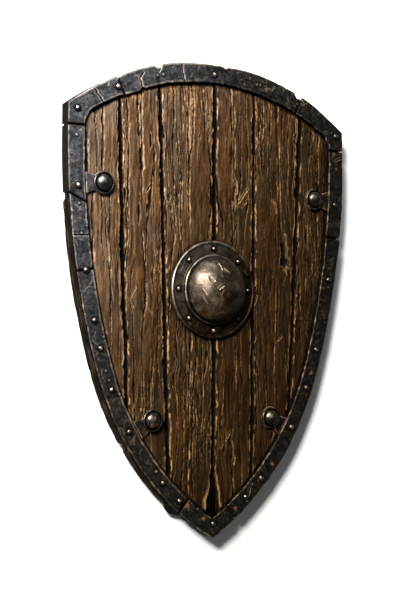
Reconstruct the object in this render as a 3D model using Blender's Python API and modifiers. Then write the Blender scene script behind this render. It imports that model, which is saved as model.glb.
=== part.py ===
"""Heater shield: six weathered boards in an iron rim, with a hollow boss and four domed studs.

Seen from the front, the top is +Y and the right is +X, and the front faces up, +Z.
The shield lies on its back: its two battens and its grip bar rest on the plane z = 0.
"""

import math

import bmesh
import bpy
from mathutils import Matrix, Vector

# Outline, in metres: an arched top edge, short straight sides, then two arcs down to the tip.
# The straight side and the first arc's radius are shares of the height
WIDTH = 0.550
HEIGHT = 0.804
CROWN_RISE = 0.091
STRAIGHT_SIDE_SHARE = 0.0784
SHOULDER_RADIUS_SHARE = 1.58
SHOULDER_TURN = math.radians(17)
CROWN_STEPS = 7
SHOULDER_STEPS = 5
FLANK_STEPS = 9

# Thicknesses and clearances
BATTEN_DEPTH = 0.012
BOARD_DEPTH = 0.0215
IRON = 0.0025
WRAP_WALL = 0.0020
TOUCH = 0.0003

# Boards. A seam is two places across the shield, as shares of its width: the first is where
# it lies SEAM_SPAN above the middle, the second SEAM_SPAN below it
SEAM_SPAN = 0.300
SEAM_SHARES = ((-0.3364, -0.2964), (-0.1945, -0.1618), (0.0, 0.0), (0.1482, 0.1427), (0.3291, 0.28))
SEAM_GAP = 0.0012
BOARD_ROUNDING = 0.0014
# Splits and pits in the boards. Of the width: x. Of the height: y and half the length.
# Then half the width, the depth and the lean in degrees
SPLITS = (
    (-0.3782, 0.1555, 0.1866, 0.0016, 0.005, 3.0),
    (-0.2582, 0.2923, 0.143, 0.0017, 0.005, 0.0),
    (-0.26, 0.1269, 0.0199, 0.0040, 0.008, 0.0),
    (-0.0982, 0.2923, 0.1617, 0.0017, 0.005, 0.6),
    (-0.0891, -0.2177, 0.1306, 0.0017, 0.005, 0.0),
    (0.0727, 0.2985, 0.143, 0.0014, 0.005, 0.0),
    (0.2327, 0.2425, 0.1617, 0.0017, 0.005, 0.0),
    (0.2582, 0.0896, 0.0274, 0.0045, 0.009, 0.0),
    (0.2309, -0.1057, 0.1119, 0.0014, 0.005, 0.0),
)
# Rotted hollow in the middle seam above the tip: half width, half length, depth
ROT_HALF_SIZES = (0.011, 0.066, 0.011)
SPINDLE_SIDES = 4
# Height of a split's widest line over the boards, so that no edge lies in their faces
SPLIT_LIFT = 0.001
# Radius of the piece broken out of the edge at the lower left
EDGE_CHIP = 0.008
CHIP_SIDES = 6

# Rim band. The places of its ends are shares of the width (top edge) or height (sides)
BAND_WIDTH = 0.030
BAND_SETBACK = 0.0008
BUTT_GAP = 0.0007
CORNER_LEG = 0.034
CORNER_LEFT_SHARE = -0.3382
CORNER_RIGHT_SHARE = 0.3327
STRAP_OUTER_SHARE = 0.2077
STRAP_INNER_SHARE = 0.1903
LEFT_JOINT_SHARE = 0.0516
RIGHT_JOINT_SHARE = 0.1468
TIP_LEG_LEFT = 0.082
TIP_LEG_RIGHT = 0.056

# Nails of the rim. Their places are shares of the height down the sides, of the width on top
NAIL_INSET = 0.016
SIDE_NAIL_SHARES = (0.2226, 0.0541, -0.1014, -0.1847, -0.2699, -0.3769, -0.4154)
EXTRA_NAIL_SHARE = -0.046
CROWN_NAIL_SHARES = (("left", CORNER_LEFT_SHARE), ("middle", 0.0))
TIP_NAIL_RISE = 0.026
NAIL_HEAD = 0.0055
NAIL_RISE = 0.0042
NAIL_PIN = 0.0022
NAIL_LENGTH = 0.012
NAIL_SIDES = 8
SMALL_LEFT_SHARES = (0.3229, 0.1754, 0.1269, -0.1468, -0.1654, -0.3458)
SMALL_RIGHT_SHARES = (0.0373, -0.1517)
SMALL_CROWN_SHARES = (-0.2027, -0.1836, 0.1007, 0.1564, 0.1727)
SMALL_HEAD = 0.0028
SMALL_RISE = 0.0016
SMALL_SIDES = 6
SMALL_RINGS = 4

# Boss
BOSS_LIFT_SHARE = 0.0233
FLANGE_RADIUS = 0.083
FLANGE_WIDTH = 0.023
HAND_HOLE_MARGIN = 0.008
ROLL_WIDTH = 0.0045
ROLL_RISE = 0.0042
RING_WIDTH = 0.004
RING_RISE = 0.0085
RING_GROOVE = 0.0015
EDGE_EASE = 0.0008
DOME_RISE = 0.041
BOSS_SHEET = 0.0025
BOSS_STEPS = 32
DOME_STEPS = 5
BOSS_RIVETS = 8
BOSS_RIVET_HEAD = 0.0050

# Studs and the tab plates under them
STUD_INSET = 0.062
STUD_HEIGHT_SHARES = (("upper", 0.2276), ("lower", -0.2882))
STUD_DOME = 0.0140
STUD_RISE = 0.0105
STUD_DOME_ANGLES = (90, 62, 34, 8)
STUD_RING = 0.0184
STUD_RING_WIDTH = 0.0034
STUD_RING_RISE = 0.0032
STUD_PIN = 0.0040
STUD_SIDES = 16
TAB_PLATE = 0.0020
TAB_DISC_EDGE = 0.0008
TAB_ROOT = 0.034
TAB_NECK = 0.024
TAB_HOLLOW = 0.0006
TAB_SIDES = 18
STUD_END_RECESS = 0.001

# Back
BATTEN_WIDTH = 0.040
BATTEN_EDGE_MARGIN = 0.030
BATTEN_ROUNDING = 0.002
GRIP_WIDTH = 0.030
GRIP_MARGIN = 0.040
GRIP_SWELL = 0.008
GRIP_SWELL_MARGIN = 0.010
GRIP_SLOPE = 0.010

# Small distances for tidy meshes
SAME_POINT = 0.0005
WELD = 0.00001
FLAT = math.radians(0.2)
SHARP = math.radians(40)

# Worked out from the values above
BACK = BATTEN_DEPTH + TOUCH
FRONT = BACK + BOARD_DEPTH
BAND_BOTTOM = FRONT + TOUCH
BAND_TOP = BAND_BOTTOM + IRON
BOARD_INSET = WRAP_WALL + TOUCH
STRAIGHT_SIDE = STRAIGHT_SIDE_SHARE * HEIGHT
SHOULDER_RADIUS = SHOULDER_RADIUS_SHARE * HEIGHT
BOSS_Y = BOSS_LIFT_SHARE * HEIGHT
RING_RADIUS = FLANGE_RADIUS - FLANGE_WIDTH
BOSS_RIVET_CIRCLE = (RING_RADIUS + FLANGE_RADIUS - ROLL_WIDTH) / 2
HAND_HOLE = RING_RADIUS - HAND_HOLE_MARGIN
CORNER = Vector((WIDTH / 2, HEIGHT / 2 - CROWN_RISE))
TIP = Vector((0, -HEIGHT / 2))
CROWN_RADIUS = (CORNER.x ** 2 + CROWN_RISE ** 2) / (2 * CROWN_RISE)
CROWN_CENTRE = Vector((0, HEIGHT / 2 - CROWN_RADIUS))
SHOULDER_CENTRE = Vector((CORNER.x - SHOULDER_RADIUS, CORNER.y - STRAIGHT_SIDE))
HIP_NORMAL = Vector((math.cos(SHOULDER_TURN), -math.sin(SHOULDER_TURN)))
HIP = SHOULDER_CENTRE + SHOULDER_RADIUS * HIP_NORMAL
FLANK_RADIUS = -(TIP - HIP).length_squared / (2 * (TIP - HIP).dot(HIP_NORMAL))
FLANK_CENTRE = HIP - FLANK_RADIUS * HIP_NORMAL
TIP_TURN = math.acos(-FLANK_CENTRE.x / FLANK_RADIUS)

# Lengths along the outline from the middle of the top edge to where each stretch ends
CORNER_RUN = CROWN_RADIUS * math.asin(CORNER.x / CROWN_RADIUS)
STRAIGHT_RUN = CORNER_RUN + STRAIGHT_SIDE
HIP_RUN = STRAIGHT_RUN + SHOULDER_RADIUS * SHOULDER_TURN
TIP_RUN = HIP_RUN + FLANK_RADIUS * (TIP_TURN - SHOULDER_TURN)


def half_point(run, inset):
    """Point of the right half, a run along the outline from the crown, moved inwards."""
    if run < CORNER_RUN:
        radius = CROWN_RADIUS - inset
        turn = min(run / CROWN_RADIUS, math.asin((CORNER.x - inset) / radius))
        return CROWN_CENTRE + radius * Vector((math.sin(turn), math.cos(turn)))
    if run < STRAIGHT_RUN:
        reach = (CROWN_RADIUS - inset) ** 2 - (CORNER.x - inset) ** 2
        mitre = CROWN_CENTRE.y + math.sqrt(reach)
        return Vector((CORNER.x - inset, min(CORNER.y - (run - CORNER_RUN), mitre)))
    if run < HIP_RUN:
        turn = (run - STRAIGHT_RUN) / SHOULDER_RADIUS
        direction = Vector((math.cos(turn), -math.sin(turn)))
        return SHOULDER_CENTRE + (SHOULDER_RADIUS - inset) * direction
    radius = FLANK_RADIUS - inset
    turn = SHOULDER_TURN + (run - HIP_RUN) / FLANK_RADIUS
    turn = min(turn, math.acos(-FLANK_CENTRE.x / radius))
    return FLANK_CENTRE + radius * Vector((math.cos(turn), -math.sin(turn)))


def rim_point(run, inset):
    """Point of the whole outline. A negative run goes down the left side."""
    half = (run + TIP_RUN) % (2 * TIP_RUN) - TIP_RUN
    point = half_point(abs(half), inset)
    return Vector((math.copysign(point.x, half), point.y))


def run_at_height(y, inset=0.0):
    """Run at which the right side, moved inwards, passes a height."""
    if y > SHOULDER_CENTRE.y:
        return CORNER_RUN + CORNER.y - y
    turn = math.asin((SHOULDER_CENTRE.y - y) / (SHOULDER_RADIUS - inset))
    if turn < SHOULDER_TURN:
        return STRAIGHT_RUN + SHOULDER_RADIUS * turn
    turn = math.asin((FLANK_CENTRE.y - y) / (FLANK_RADIUS - inset))
    return HIP_RUN + FLANK_RADIUS * (turn - SHOULDER_TURN)


def run_at_x(x, inset=0.0):
    """Run at which the top edge, moved inwards, passes an x."""
    return CROWN_RADIUS * math.asin(x / (CROWN_RADIUS - inset))


def side_knots():
    """Runs of the outline's corners and of the points that round its arcs, crown to tip."""
    stretches = (
        (0.0, CORNER_RUN, CROWN_STEPS),
        (CORNER_RUN, STRAIGHT_RUN, 1),
        (STRAIGHT_RUN, HIP_RUN, SHOULDER_STEPS),
        (HIP_RUN, TIP_RUN, FLANK_STEPS),
    )
    runs = []
    for start, end, steps in stretches:
        runs += [start + (end - start) * step / steps for step in range(steps)]
    return runs + [TIP_RUN]


SIDE_KNOTS = side_knots()
KNOTS = [-run for run in reversed(SIDE_KNOTS)] + SIDE_KNOTS[1:]
KNOTS += [2 * TIP_RUN - run for run in reversed(SIDE_KNOTS[:-1])]


def without_repeats(points):
    """The points, less those that lie on the one before."""
    kept = []
    for point in points:
        if not kept or (point - kept[-1]).length > SAME_POINT:
            kept.append(point)
    if (kept[0] - kept[-1]).length < SAME_POINT:
        kept.pop()
    return kept


def strip_outline(start, end, outer, inner):
    """Outline of a length of rim. Start and end are runs, each at the outer and inner edge."""
    points = []
    for edge, inset in enumerate((outer, inner)):
        first, last = start[edge], end[edge]
        between = [run for run in KNOTS if first + SAME_POINT < run < last - SAME_POINT]
        line = [rim_point(run, inset) for run in [first] + between + [last]]
        points += line[::-1] if edge else line
    return without_repeats(points)


def seam_x(seam, y):
    """The x of a seam at a height."""
    above, below = seam[0] * WIDTH, seam[1] * WIDTH
    return (above + below) / 2 + (above - below) / 2 * y / SEAM_SPAN


def cut_along(points, seam, keep_right):
    """The part of an outline on one side of a seam, half the seam's gap back from it."""
    sign = 1 if keep_right else -1
    clear = [sign * (point.x - seam_x(seam, point.y)) - SEAM_GAP / 2 for point in points]
    kept = []
    for index, point in enumerate(points):
        here, before = clear[index], clear[index - 1]
        if (here > 0) != (before > 0):
            kept.append(points[index - 1].lerp(point, before / (before - here)))
        if here > 0:
            kept.append(point)
    return without_repeats(kept)


def new_collection(name):
    """A collection of the scene."""
    collection = bpy.data.collections.new(name)
    bpy.context.scene.collection.children.link(collection)
    return collection


def finish(name, colour, roughness, metallic):
    """A plain material for one kind of piece."""
    made = bpy.data.materials.new(name)
    made.use_nodes = True
    shader = made.node_tree.nodes["Principled BSDF"]
    shader.inputs["Base Color"].default_value = (*colour, 1)
    shader.inputs["Roughness"].default_value = roughness
    shader.inputs["Metallic"].default_value = metallic
    return made


def add_piece(name, mesh, look, location=(0, 0, 0)):
    """Places a piece of the shield."""
    piece = bpy.data.objects.new(name, mesh)
    piece.location = location
    piece.parent = middle
    shield.objects.link(piece)
    if not mesh.materials:
        mesh.materials.append(look)
    return piece


def add_cutter(name, mesh):
    """Keeps a body that cuts the pieces, or is joined to one, out of the shield."""
    cutter = bpy.data.objects.new(name, mesh)
    cutters.objects.link(cutter)
    cutter.hide_render = True
    cutter.display_type = 'WIRE'
    return cutter


def tidy_mesh(source, name):
    """The mesh of a curve or of a turned profile, welded, with its faces outwards."""
    bpy.context.view_layer.update()
    graph = bpy.context.evaluated_depsgraph_get()
    mesh = bpy.data.meshes.new_from_object(source.evaluated_get(graph))
    mesh.name = name
    shape = bmesh.new()
    shape.from_mesh(mesh)
    bmesh.ops.remove_doubles(shape, verts=shape.verts, dist=WELD)
    bmesh.ops.dissolve_limit(shape, angle_limit=FLAT, verts=shape.verts, edges=shape.edges)
    bmesh.ops.recalc_face_normals(shape, faces=shape.faces)
    shape.to_mesh(mesh)
    shape.free()
    return mesh


def flat_mesh(name, points, bottom, depth):
    """A flat outline with a depth, as a mesh."""
    curve = bpy.data.curves.new(name, 'CURVE')
    curve.dimensions = '2D'
    curve.fill_mode = 'BOTH'
    curve.extrude = depth / 2
    spline = curve.splines.new('POLY')
    spline.points.add(len(points) - 1)
    for place, point in zip(spline.points, points):
        place.co = (point.x, point.y, 0, 1)
    spline.use_cyclic_u = True
    source = add_cutter(name + "_outline", curve)
    mesh = tidy_mesh(source, name)
    bpy.data.objects.remove(source)
    bpy.data.curves.remove(curve)
    mesh.transform(Matrix.Translation((0, 0, bottom + depth / 2)))
    return mesh


def turned_mesh(name, profile, steps):
    """A profile of (radius, height) pairs, turned about Z. It runs down the outer side."""
    line = bpy.data.meshes.new(name + "_profile")
    corners = [(radius, 0, height) for radius, height in profile]
    line.from_pydata(corners, [(i, i + 1) for i in range(len(corners) - 1)], [])
    source = add_cutter(name + "_profile", line)
    turn = source.modifiers.new("turn", 'SCREW')
    turn.steps = steps
    turn.render_steps = steps
    turn.use_merge_vertices = True
    turn.merge_threshold = WELD
    mesh = tidy_mesh(source, name)
    bpy.data.objects.remove(source)
    bpy.data.meshes.remove(line)
    mesh.shade_smooth()
    mesh.set_sharp_from_angle(angle=SHARP)
    return mesh


def round_edges(piece, width):
    """Bevels the sharp edges of a piece, and welds the corners that meet at a narrow end."""
    bevel = piece.modifiers.new("rounding", 'BEVEL')
    bevel.width = width
    bevel.segments = 1
    bevel.limit_method = 'ANGLE'
    bevel.angle_limit = SHARP
    weld = piece.modifiers.new("weld", 'WELD')
    weld.merge_threshold = WELD


def combine(piece, other, operation='DIFFERENCE'):
    """Cuts another body out of a piece, or joins it to the piece.

    The exact solver leaves open edges in a board and in the left rim, so this is the other one.
    """
    step = piece.modifiers.new(other.name, 'BOOLEAN')
    step.operation = operation
    step.object = other
    step.solver = 'MANIFOLD'


def add_pin(shape, spot, radius, low, high, sides):
    """An upright pin for cutting a hole at a spot."""
    pin = bmesh.ops.create_cone(shape, cap_ends=True, segments=sides, radius1=radius,
                                radius2=radius, depth=high - low)
    bmesh.ops.translate(shape, verts=pin["verts"], vec=(spot.x, spot.y, (low + high) / 2))


def add_spindle(shape, place, half_sizes, lean=0.0):
    """A long body along Y that narrows to both ends, leaning by some degrees."""
    verts = bmesh.ops.create_uvsphere(shape, u_segments=SPINDLE_SIDES, v_segments=SPINDLE_SIDES,
                                      radius=1)["verts"]
    bmesh.ops.rotate(shape, verts=verts, matrix=Matrix.Rotation(math.pi / 2, 3, 'X'))
    bmesh.ops.scale(shape, verts=verts, vec=half_sizes)
    bmesh.ops.rotate(shape, verts=verts, matrix=Matrix.Rotation(math.radians(lean), 3, 'Z'))
    bmesh.ops.translate(shape, verts=verts, vec=place)


def add_button(shape, spot):
    """A small nail head, sunk a little into the band that it is joined to."""
    verts = bmesh.ops.create_uvsphere(shape, u_segments=SMALL_SIDES, v_segments=SMALL_RINGS,
                                      radius=1)["verts"]
    bmesh.ops.scale(shape, verts=verts, vec=(SMALL_HEAD, SMALL_HEAD, SMALL_RISE))
    bmesh.ops.translate(shape, verts=verts, vec=(spot.x, spot.y, BAND_TOP))


def cutter_from(shape, name):
    """Makes a cutter of a shape and frees the shape."""
    mesh = bpy.data.meshes.new(name)
    shape.to_mesh(mesh)
    shape.free()
    return add_cutter(name, mesh)


def nail_spots():
    """Name and place of each large nail of the rim."""
    spots = {}
    for side, sign in (("left", -1), ("right", 1)):
        spots["corner_" + side] = rim_point(sign * CORNER_RUN, NAIL_INSET)
        for number, share in enumerate(SIDE_NAIL_SHARES, 1):
            run = run_at_height(share * HEIGHT, NAIL_INSET)
            spots[f"{side}_{number}"] = rim_point(sign * run, NAIL_INSET)
    run = run_at_height(EXTRA_NAIL_SHARE * HEIGHT, NAIL_INSET)
    spots["left_extra"] = rim_point(-run, NAIL_INSET)
    for name, share in CROWN_NAIL_SHARES:
        spots["crown_" + name] = rim_point(run_at_x(share * WIDTH, NAIL_INSET), NAIL_INSET)
    spots["tip"] = TIP + Vector((0, TIP_NAIL_RISE))
    return spots


def small_nail_runs():
    """Runs of the small nails, whose heads are part of the band."""
    runs = [-run_at_height(share * HEIGHT, NAIL_INSET) for share in SMALL_LEFT_SHARES]
    runs += [run_at_height(share * HEIGHT, NAIL_INSET) for share in SMALL_RIGHT_SHARES]
    return runs + [run_at_x(share * WIDTH, NAIL_INSET) for share in SMALL_CROWN_SHARES]


def boss_rivet_spots():
    """Places of the rivets round the boss's flange, the first one at the top."""
    spots = []
    for number in range(BOSS_RIVETS):
        turn = math.tau * number / BOSS_RIVETS
        spots.append(Vector((BOSS_RIVET_CIRCLE * math.sin(turn),
                             BOSS_Y + BOSS_RIVET_CIRCLE * math.cos(turn))))
    return spots


def stud_runs():
    """Name and run of each stud, at the place of the rim that its tab reaches to."""
    runs = {}
    for level, share in STUD_HEIGHT_SHARES:
        runs[level + "_left"] = -run_at_height(share * HEIGHT)
        runs[level + "_right"] = run_at_height(share * HEIGHT)
    return runs


def nail_holes():
    """Cutter for the holes of the rim's nails and the boss's rivets."""
    shape = bmesh.new()
    bottom = FRONT - NAIL_LENGTH - TOUCH
    for spot in list(nail_spots().values()) + boss_rivet_spots():
        add_pin(shape, spot, NAIL_PIN + TOUCH, bottom, BAND_TOP + NAIL_HEAD, NAIL_SIDES)
    return cutter_from(shape, "nail_holes")


def stud_holes():
    """Cutter for the holes of the studs, from behind the battens to above the tab plates."""
    shape = bmesh.new()
    for run in stud_runs().values():
        spot = rim_point(run, STUD_INSET)
        add_pin(shape, spot, STUD_PIN + TOUCH, -STUD_RISE, BAND_TOP + STUD_RISE, STUD_SIDES)
    return cutter_from(shape, "stud_holes")


def hand_hole():
    """Cutter for the round hole behind the boss."""
    shape = bmesh.new()
    add_pin(shape, Vector((0, BOSS_Y)), HAND_HOLE, 0, BAND_TOP, BOSS_STEPS)
    return cutter_from(shape, "hand_hole")


def wear():
    """Cutter for the splits, the pits, the rotted hollow and the broken edge of the boards."""
    shape = bmesh.new()
    for x, y, half_length, half_width, depth, lean in SPLITS:
        half_sizes = (half_width, half_length * HEIGHT, depth)
        add_spindle(shape, (x * WIDTH, y * HEIGHT, FRONT + SPLIT_LIFT), half_sizes, lean)
    rot_y = TIP.y + BAND_WIDTH / math.cos(TIP_TURN)
    add_spindle(shape, (0, rot_y, FRONT + SPLIT_LIFT), ROT_HALF_SIZES)
    chip = rim_point(-(TIP_RUN - TIP_LEG_LEFT), 0)
    add_pin(shape, chip, EDGE_CHIP, 0, FRONT + TOUCH, CHIP_SIDES)
    return cutter_from(shape, "wear")


def make_boards(holes):
    """The vertical boards, left to right, each cut from the shield's outline by its seams."""
    look = finish("weathered_oak", (0.17, 0.105, 0.062), 0.75, 0.0)
    whole = without_repeats([rim_point(run, BOARD_INSET) for run in KNOTS if run < TIP_RUN])
    for number in range(len(SEAM_SHARES) + 1):
        outline = whole
        if number > 0:
            outline = cut_along(outline, SEAM_SHARES[number - 1], True)
        if number < len(SEAM_SHARES):
            outline = cut_along(outline, SEAM_SHARES[number], False)
        name = f"board_{number + 1}"
        board = add_piece(name, flat_mesh(name, outline, BACK, BOARD_DEPTH), look)
        round_edges(board, BOARD_ROUNDING)
        for hole in holes:
            combine(board, hole)


def rim_lengths():
    """Name of each length of rim, its two ends at the outer and inner edge, and if it wraps."""
    left_top = run_at_x(CORNER_LEFT_SHARE * WIDTH)
    right_top = run_at_x(CORNER_RIGHT_SHARE * WIDTH)
    leg = CORNER_RUN + CORNER_LEG
    strap_outer = -run_at_height(STRAP_OUTER_SHARE * HEIGHT)
    strap = (strap_outer, -run_at_height(STRAP_INNER_SHARE * HEIGHT, BAND_WIDTH))
    left = -run_at_height(LEFT_JOINT_SHARE * HEIGHT)
    right = run_at_height(RIGHT_JOINT_SHARE * HEIGHT)
    tip_left = TIP_LEG_LEFT - TIP_RUN
    tip_right = TIP_RUN - TIP_LEG_RIGHT
    return (
        ("rim_top", (left_top, left_top), (right_top, right_top), False),
        ("rim_corner_left", (-leg, -leg), (left_top, left_top), True),
        ("rim_corner_right", (right_top, right_top), (leg, leg), True),
        ("rim_strap_left", strap, (-leg, -leg), True),
        ("rim_left_upper", (left, left), strap, False),
        ("rim_left_lower", (tip_left, tip_left), (left, left), False),
        ("rim_right_upper", (leg, leg), (right, right), False),
        ("rim_right_lower", (right, right), (tip_right, tip_right), False),
        ("rim_tip", (tip_right, tip_right), (tip_left + 2 * TIP_RUN,) * 2, False),
    )


def make_rim(holes):
    """The iron rim: lengths of flat band, some of them with a wall down the shield's edge."""
    look = finish("forged_iron", (0.075, 0.078, 0.085), 0.5, 0.85)
    for name, start, end, wraps in rim_lengths():
        start = tuple(run + BUTT_GAP / 2 for run in start)
        end = tuple(run - BUTT_GAP / 2 for run in end)
        outline = strip_outline(start, end, BAND_SETBACK, BAND_WIDTH)
        band = add_piece(name, flat_mesh(name, outline, BAND_BOTTOM, IRON), look)
        if wraps:
            ends = start[0] + EDGE_EASE, end[0] - EDGE_EASE
            wall = strip_outline((ends[0],) * 2, (ends[1],) * 2, 0.0, WRAP_WALL)
            mesh = flat_mesh(name + "_wall", wall, BACK, BAND_TOP - EDGE_EASE - BACK)
            combine(band, add_cutter(name + "_wall", mesh), 'UNION')
        heads = [run for run in small_nail_runs() if start[0] < run < end[0]]
        if heads:
            shape = bmesh.new()
            for run in heads:
                add_button(shape, rim_point(run, NAIL_INSET))
            combine(band, cutter_from(shape, name + "_small_nails"), 'UNION')
        combine(band, holes)


def headed_profile(head, rise, pin, length):
    """A domed head on a pin. The head's underside is at zero."""
    slope = math.pi / 4
    return ((0, rise), (head * math.sin(slope), rise * math.cos(slope)), (head, 0),
            (pin, 0), (pin, -length), (0, -length))


def make_nails():
    """The large nails of the rim."""
    look = finish("nail_iron", (0.12, 0.12, 0.125), 0.4, 0.9)
    length = NAIL_LENGTH + BAND_TOP - FRONT + TOUCH
    mesh = turned_mesh("rim_nail", headed_profile(NAIL_HEAD, NAIL_RISE, NAIL_PIN, length), NAIL_SIDES)
    for name, spot in nail_spots().items():
        add_piece("rim_nail_" + name, mesh, look, (spot.x, spot.y, BAND_TOP + TOUCH))


def dome_line(radius, rise, base):
    """Points of a dome from its top down to its foot."""
    turns = [math.pi / 2 * (1 - step / DOME_STEPS) for step in range(DOME_STEPS + 1)]
    return [(radius * math.cos(turn), base + rise * math.sin(turn)) for turn in turns]


def boss_profile():
    """The boss: dome, ring, flange and the roll at its edge, then back along the inside."""
    foot = RING_RADIUS - RING_WIDTH
    base = RING_RISE - RING_GROOVE
    roll = FLANGE_RADIUS - ROLL_WIDTH
    outside = dome_line(foot, DOME_RISE, base) + [
        (foot + EDGE_EASE, RING_RISE), (RING_RADIUS - EDGE_EASE, RING_RISE),
        (RING_RADIUS, BOSS_SHEET), (roll, BOSS_SHEET), (roll + EDGE_EASE, ROLL_RISE),
        (FLANGE_RADIUS - EDGE_EASE, ROLL_RISE), (FLANGE_RADIUS, BOSS_SHEET), (FLANGE_RADIUS, 0),
    ]
    inside = dome_line(foot - BOSS_SHEET, DOME_RISE - BOSS_SHEET, base)
    return outside + [(foot - BOSS_SHEET, 0)] + inside[::-1]


def make_boss(holes):
    """The hollow boss over the hand hole, and the rivets of its flange."""
    look = finish("boss_iron", (0.11, 0.095, 0.08), 0.35, 0.9)
    seat = FRONT + TOUCH
    mesh = turned_mesh("boss", boss_profile(), BOSS_STEPS)
    combine(add_piece("boss", mesh, look, (0, BOSS_Y, seat)), holes)
    top = seat + BOSS_SHEET + TOUCH
    length = NAIL_LENGTH + top - FRONT
    profile = headed_profile(BOSS_RIVET_HEAD, NAIL_RISE, NAIL_PIN, length)
    rivet = turned_mesh("boss_rivet", profile, NAIL_SIDES)
    for number, spot in enumerate(boss_rivet_spots(), 1):
        add_piece(f"boss_rivet_{number}", rivet, look, (spot.x, spot.y, top))


def tab_outline(run):
    """Plate under a stud: a disc with a neck that widens to the rim's inner edge."""
    centre = rim_point(run, STUD_INSET)
    out = (rim_point(run, 0) - centre).normalized()
    across = Vector((-out.y, out.x))
    reach = STUD_INSET - BAND_WIDTH - TOUCH
    radius = STUD_RING + TAB_DISC_EDGE
    neck = math.asin(TAB_NECK / 2 / radius)
    points = [centre + out * (reach - TAB_HOLLOW) - across * TAB_ROOT / 2,
              centre + out * (reach - TAB_HOLLOW) + across * TAB_ROOT / 2]
    for step in range(TAB_SIDES + 1):
        turn = neck + (math.tau - 2 * neck) * step / TAB_SIDES
        points.append(centre + radius * (math.cos(turn) * out + math.sin(turn) * across))
    return points


def stud_profile(length):
    """A stud: dome, groove, raised ring and its pin."""
    turns = [math.radians(angle) for angle in STUD_DOME_ANGLES]
    dome = [(STUD_DOME * math.cos(turn), STUD_RISE * math.sin(turn)) for turn in turns]
    ring = STUD_RING - STUD_RING_WIDTH
    return dome + [
        (ring, dome[-1][1]), (ring + EDGE_EASE, STUD_RING_RISE),
        (STUD_RING - EDGE_EASE, STUD_RING_RISE), (STUD_RING, 0), (STUD_PIN, 0),
        (STUD_PIN, -length), (0, -length),
    ]


def make_studs(holes):
    """The four tab plates and the studs that hold them to the boards and battens."""
    look = finish("stud_iron", (0.13, 0.13, 0.135), 0.35, 0.9)
    seat = FRONT + TOUCH
    top = seat + TAB_PLATE + TOUCH
    mesh = turned_mesh("stud", stud_profile(top - STUD_END_RECESS), STUD_SIDES)
    for name, run in stud_runs().items():
        plate = "tab_" + name
        tab = add_piece(plate, flat_mesh(plate, tab_outline(run), seat, TAB_PLATE), look)
        combine(tab, holes)
        spot = rim_point(run, STUD_INSET)
        add_piece("stud_" + name, mesh, look, (spot.x, spot.y, top))


def make_battens(holes):
    """The two cross battens behind the studs."""
    look = finish("batten_oak", (0.15, 0.095, 0.058), 0.8, 0.0)
    for level, share in STUD_HEIGHT_SHARES:
        middle_y = rim_point(run_at_height(share * HEIGHT), STUD_INSET).y
        lowest = middle_y - BATTEN_WIDTH / 2
        half = rim_point(run_at_height(lowest), BATTEN_EDGE_MARGIN).x
        corners = [Vector((x, middle_y + y)) for x, y in
                   ((-half, -BATTEN_WIDTH / 2), (half, -BATTEN_WIDTH / 2),
                    (half, BATTEN_WIDTH / 2), (-half, BATTEN_WIDTH / 2))]
        name = "batten_" + level
        batten = add_piece(name, flat_mesh(name, corners, 0, BATTEN_DEPTH), look)
        round_edges(batten, BATTEN_ROUNDING)
        combine(batten, holes)


def make_grip():
    """The grip bar across the hand hole. It swells forwards into the hole."""
    look = finish("grip_oak", (0.13, 0.08, 0.05), 0.6, 0.0)
    half = rim_point(run_at_height(BOSS_Y), GRIP_MARGIN).x
    swell = HAND_HOLE - GRIP_SWELL_MARGIN
    side = [(-half, 0), (half, 0), (half, BATTEN_DEPTH), (swell, BATTEN_DEPTH),
            (swell - GRIP_SLOPE, BATTEN_DEPTH + GRIP_SWELL),
            (GRIP_SLOPE - swell, BATTEN_DEPTH + GRIP_SWELL), (-swell, BATTEN_DEPTH),
            (-half, BATTEN_DEPTH)]
    mesh = flat_mesh("grip_bar", [Vector(point) for point in side], -GRIP_WIDTH / 2, GRIP_WIDTH)
    grip = add_piece("grip_bar", mesh, look, (0, BOSS_Y, 0))
    grip.rotation_euler.x = math.pi / 2
    round_edges(grip, BATTEN_ROUNDING)


for old in list(bpy.data.objects):
    bpy.data.objects.remove(old)

shield = new_collection("heater_shield")
cutters = new_collection("cutters")
middle = bpy.data.objects.new("shield_middle", None)
shield.objects.link(middle)

pin_holes = nail_holes()
bolt_holes = stud_holes()
make_boards((hand_hole(), pin_holes, bolt_holes, wear()))
make_rim(pin_holes)
make_nails()
make_boss(pin_holes)
make_studs(bolt_holes)
make_battens(bolt_holes)
make_grip()
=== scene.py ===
# %% [markdown]
# # A weathered heater shield
# The shield is six oak boards side by side, bound with a nailed iron rim. A round iron boss covers
# the hand hole, and four domed studs hold the rim's tabs. It lies on its back, face up.
#
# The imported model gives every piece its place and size. The looks could come from photographs
# wrapped on plain shapes. Here they are carved and painted by rules instead, so that cracks, wear
# and rust are real shapes, seen well from every side.

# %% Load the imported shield
import math

import bmesh
import bpy
import numpy as np
from mathutils import Matrix, Vector


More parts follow.
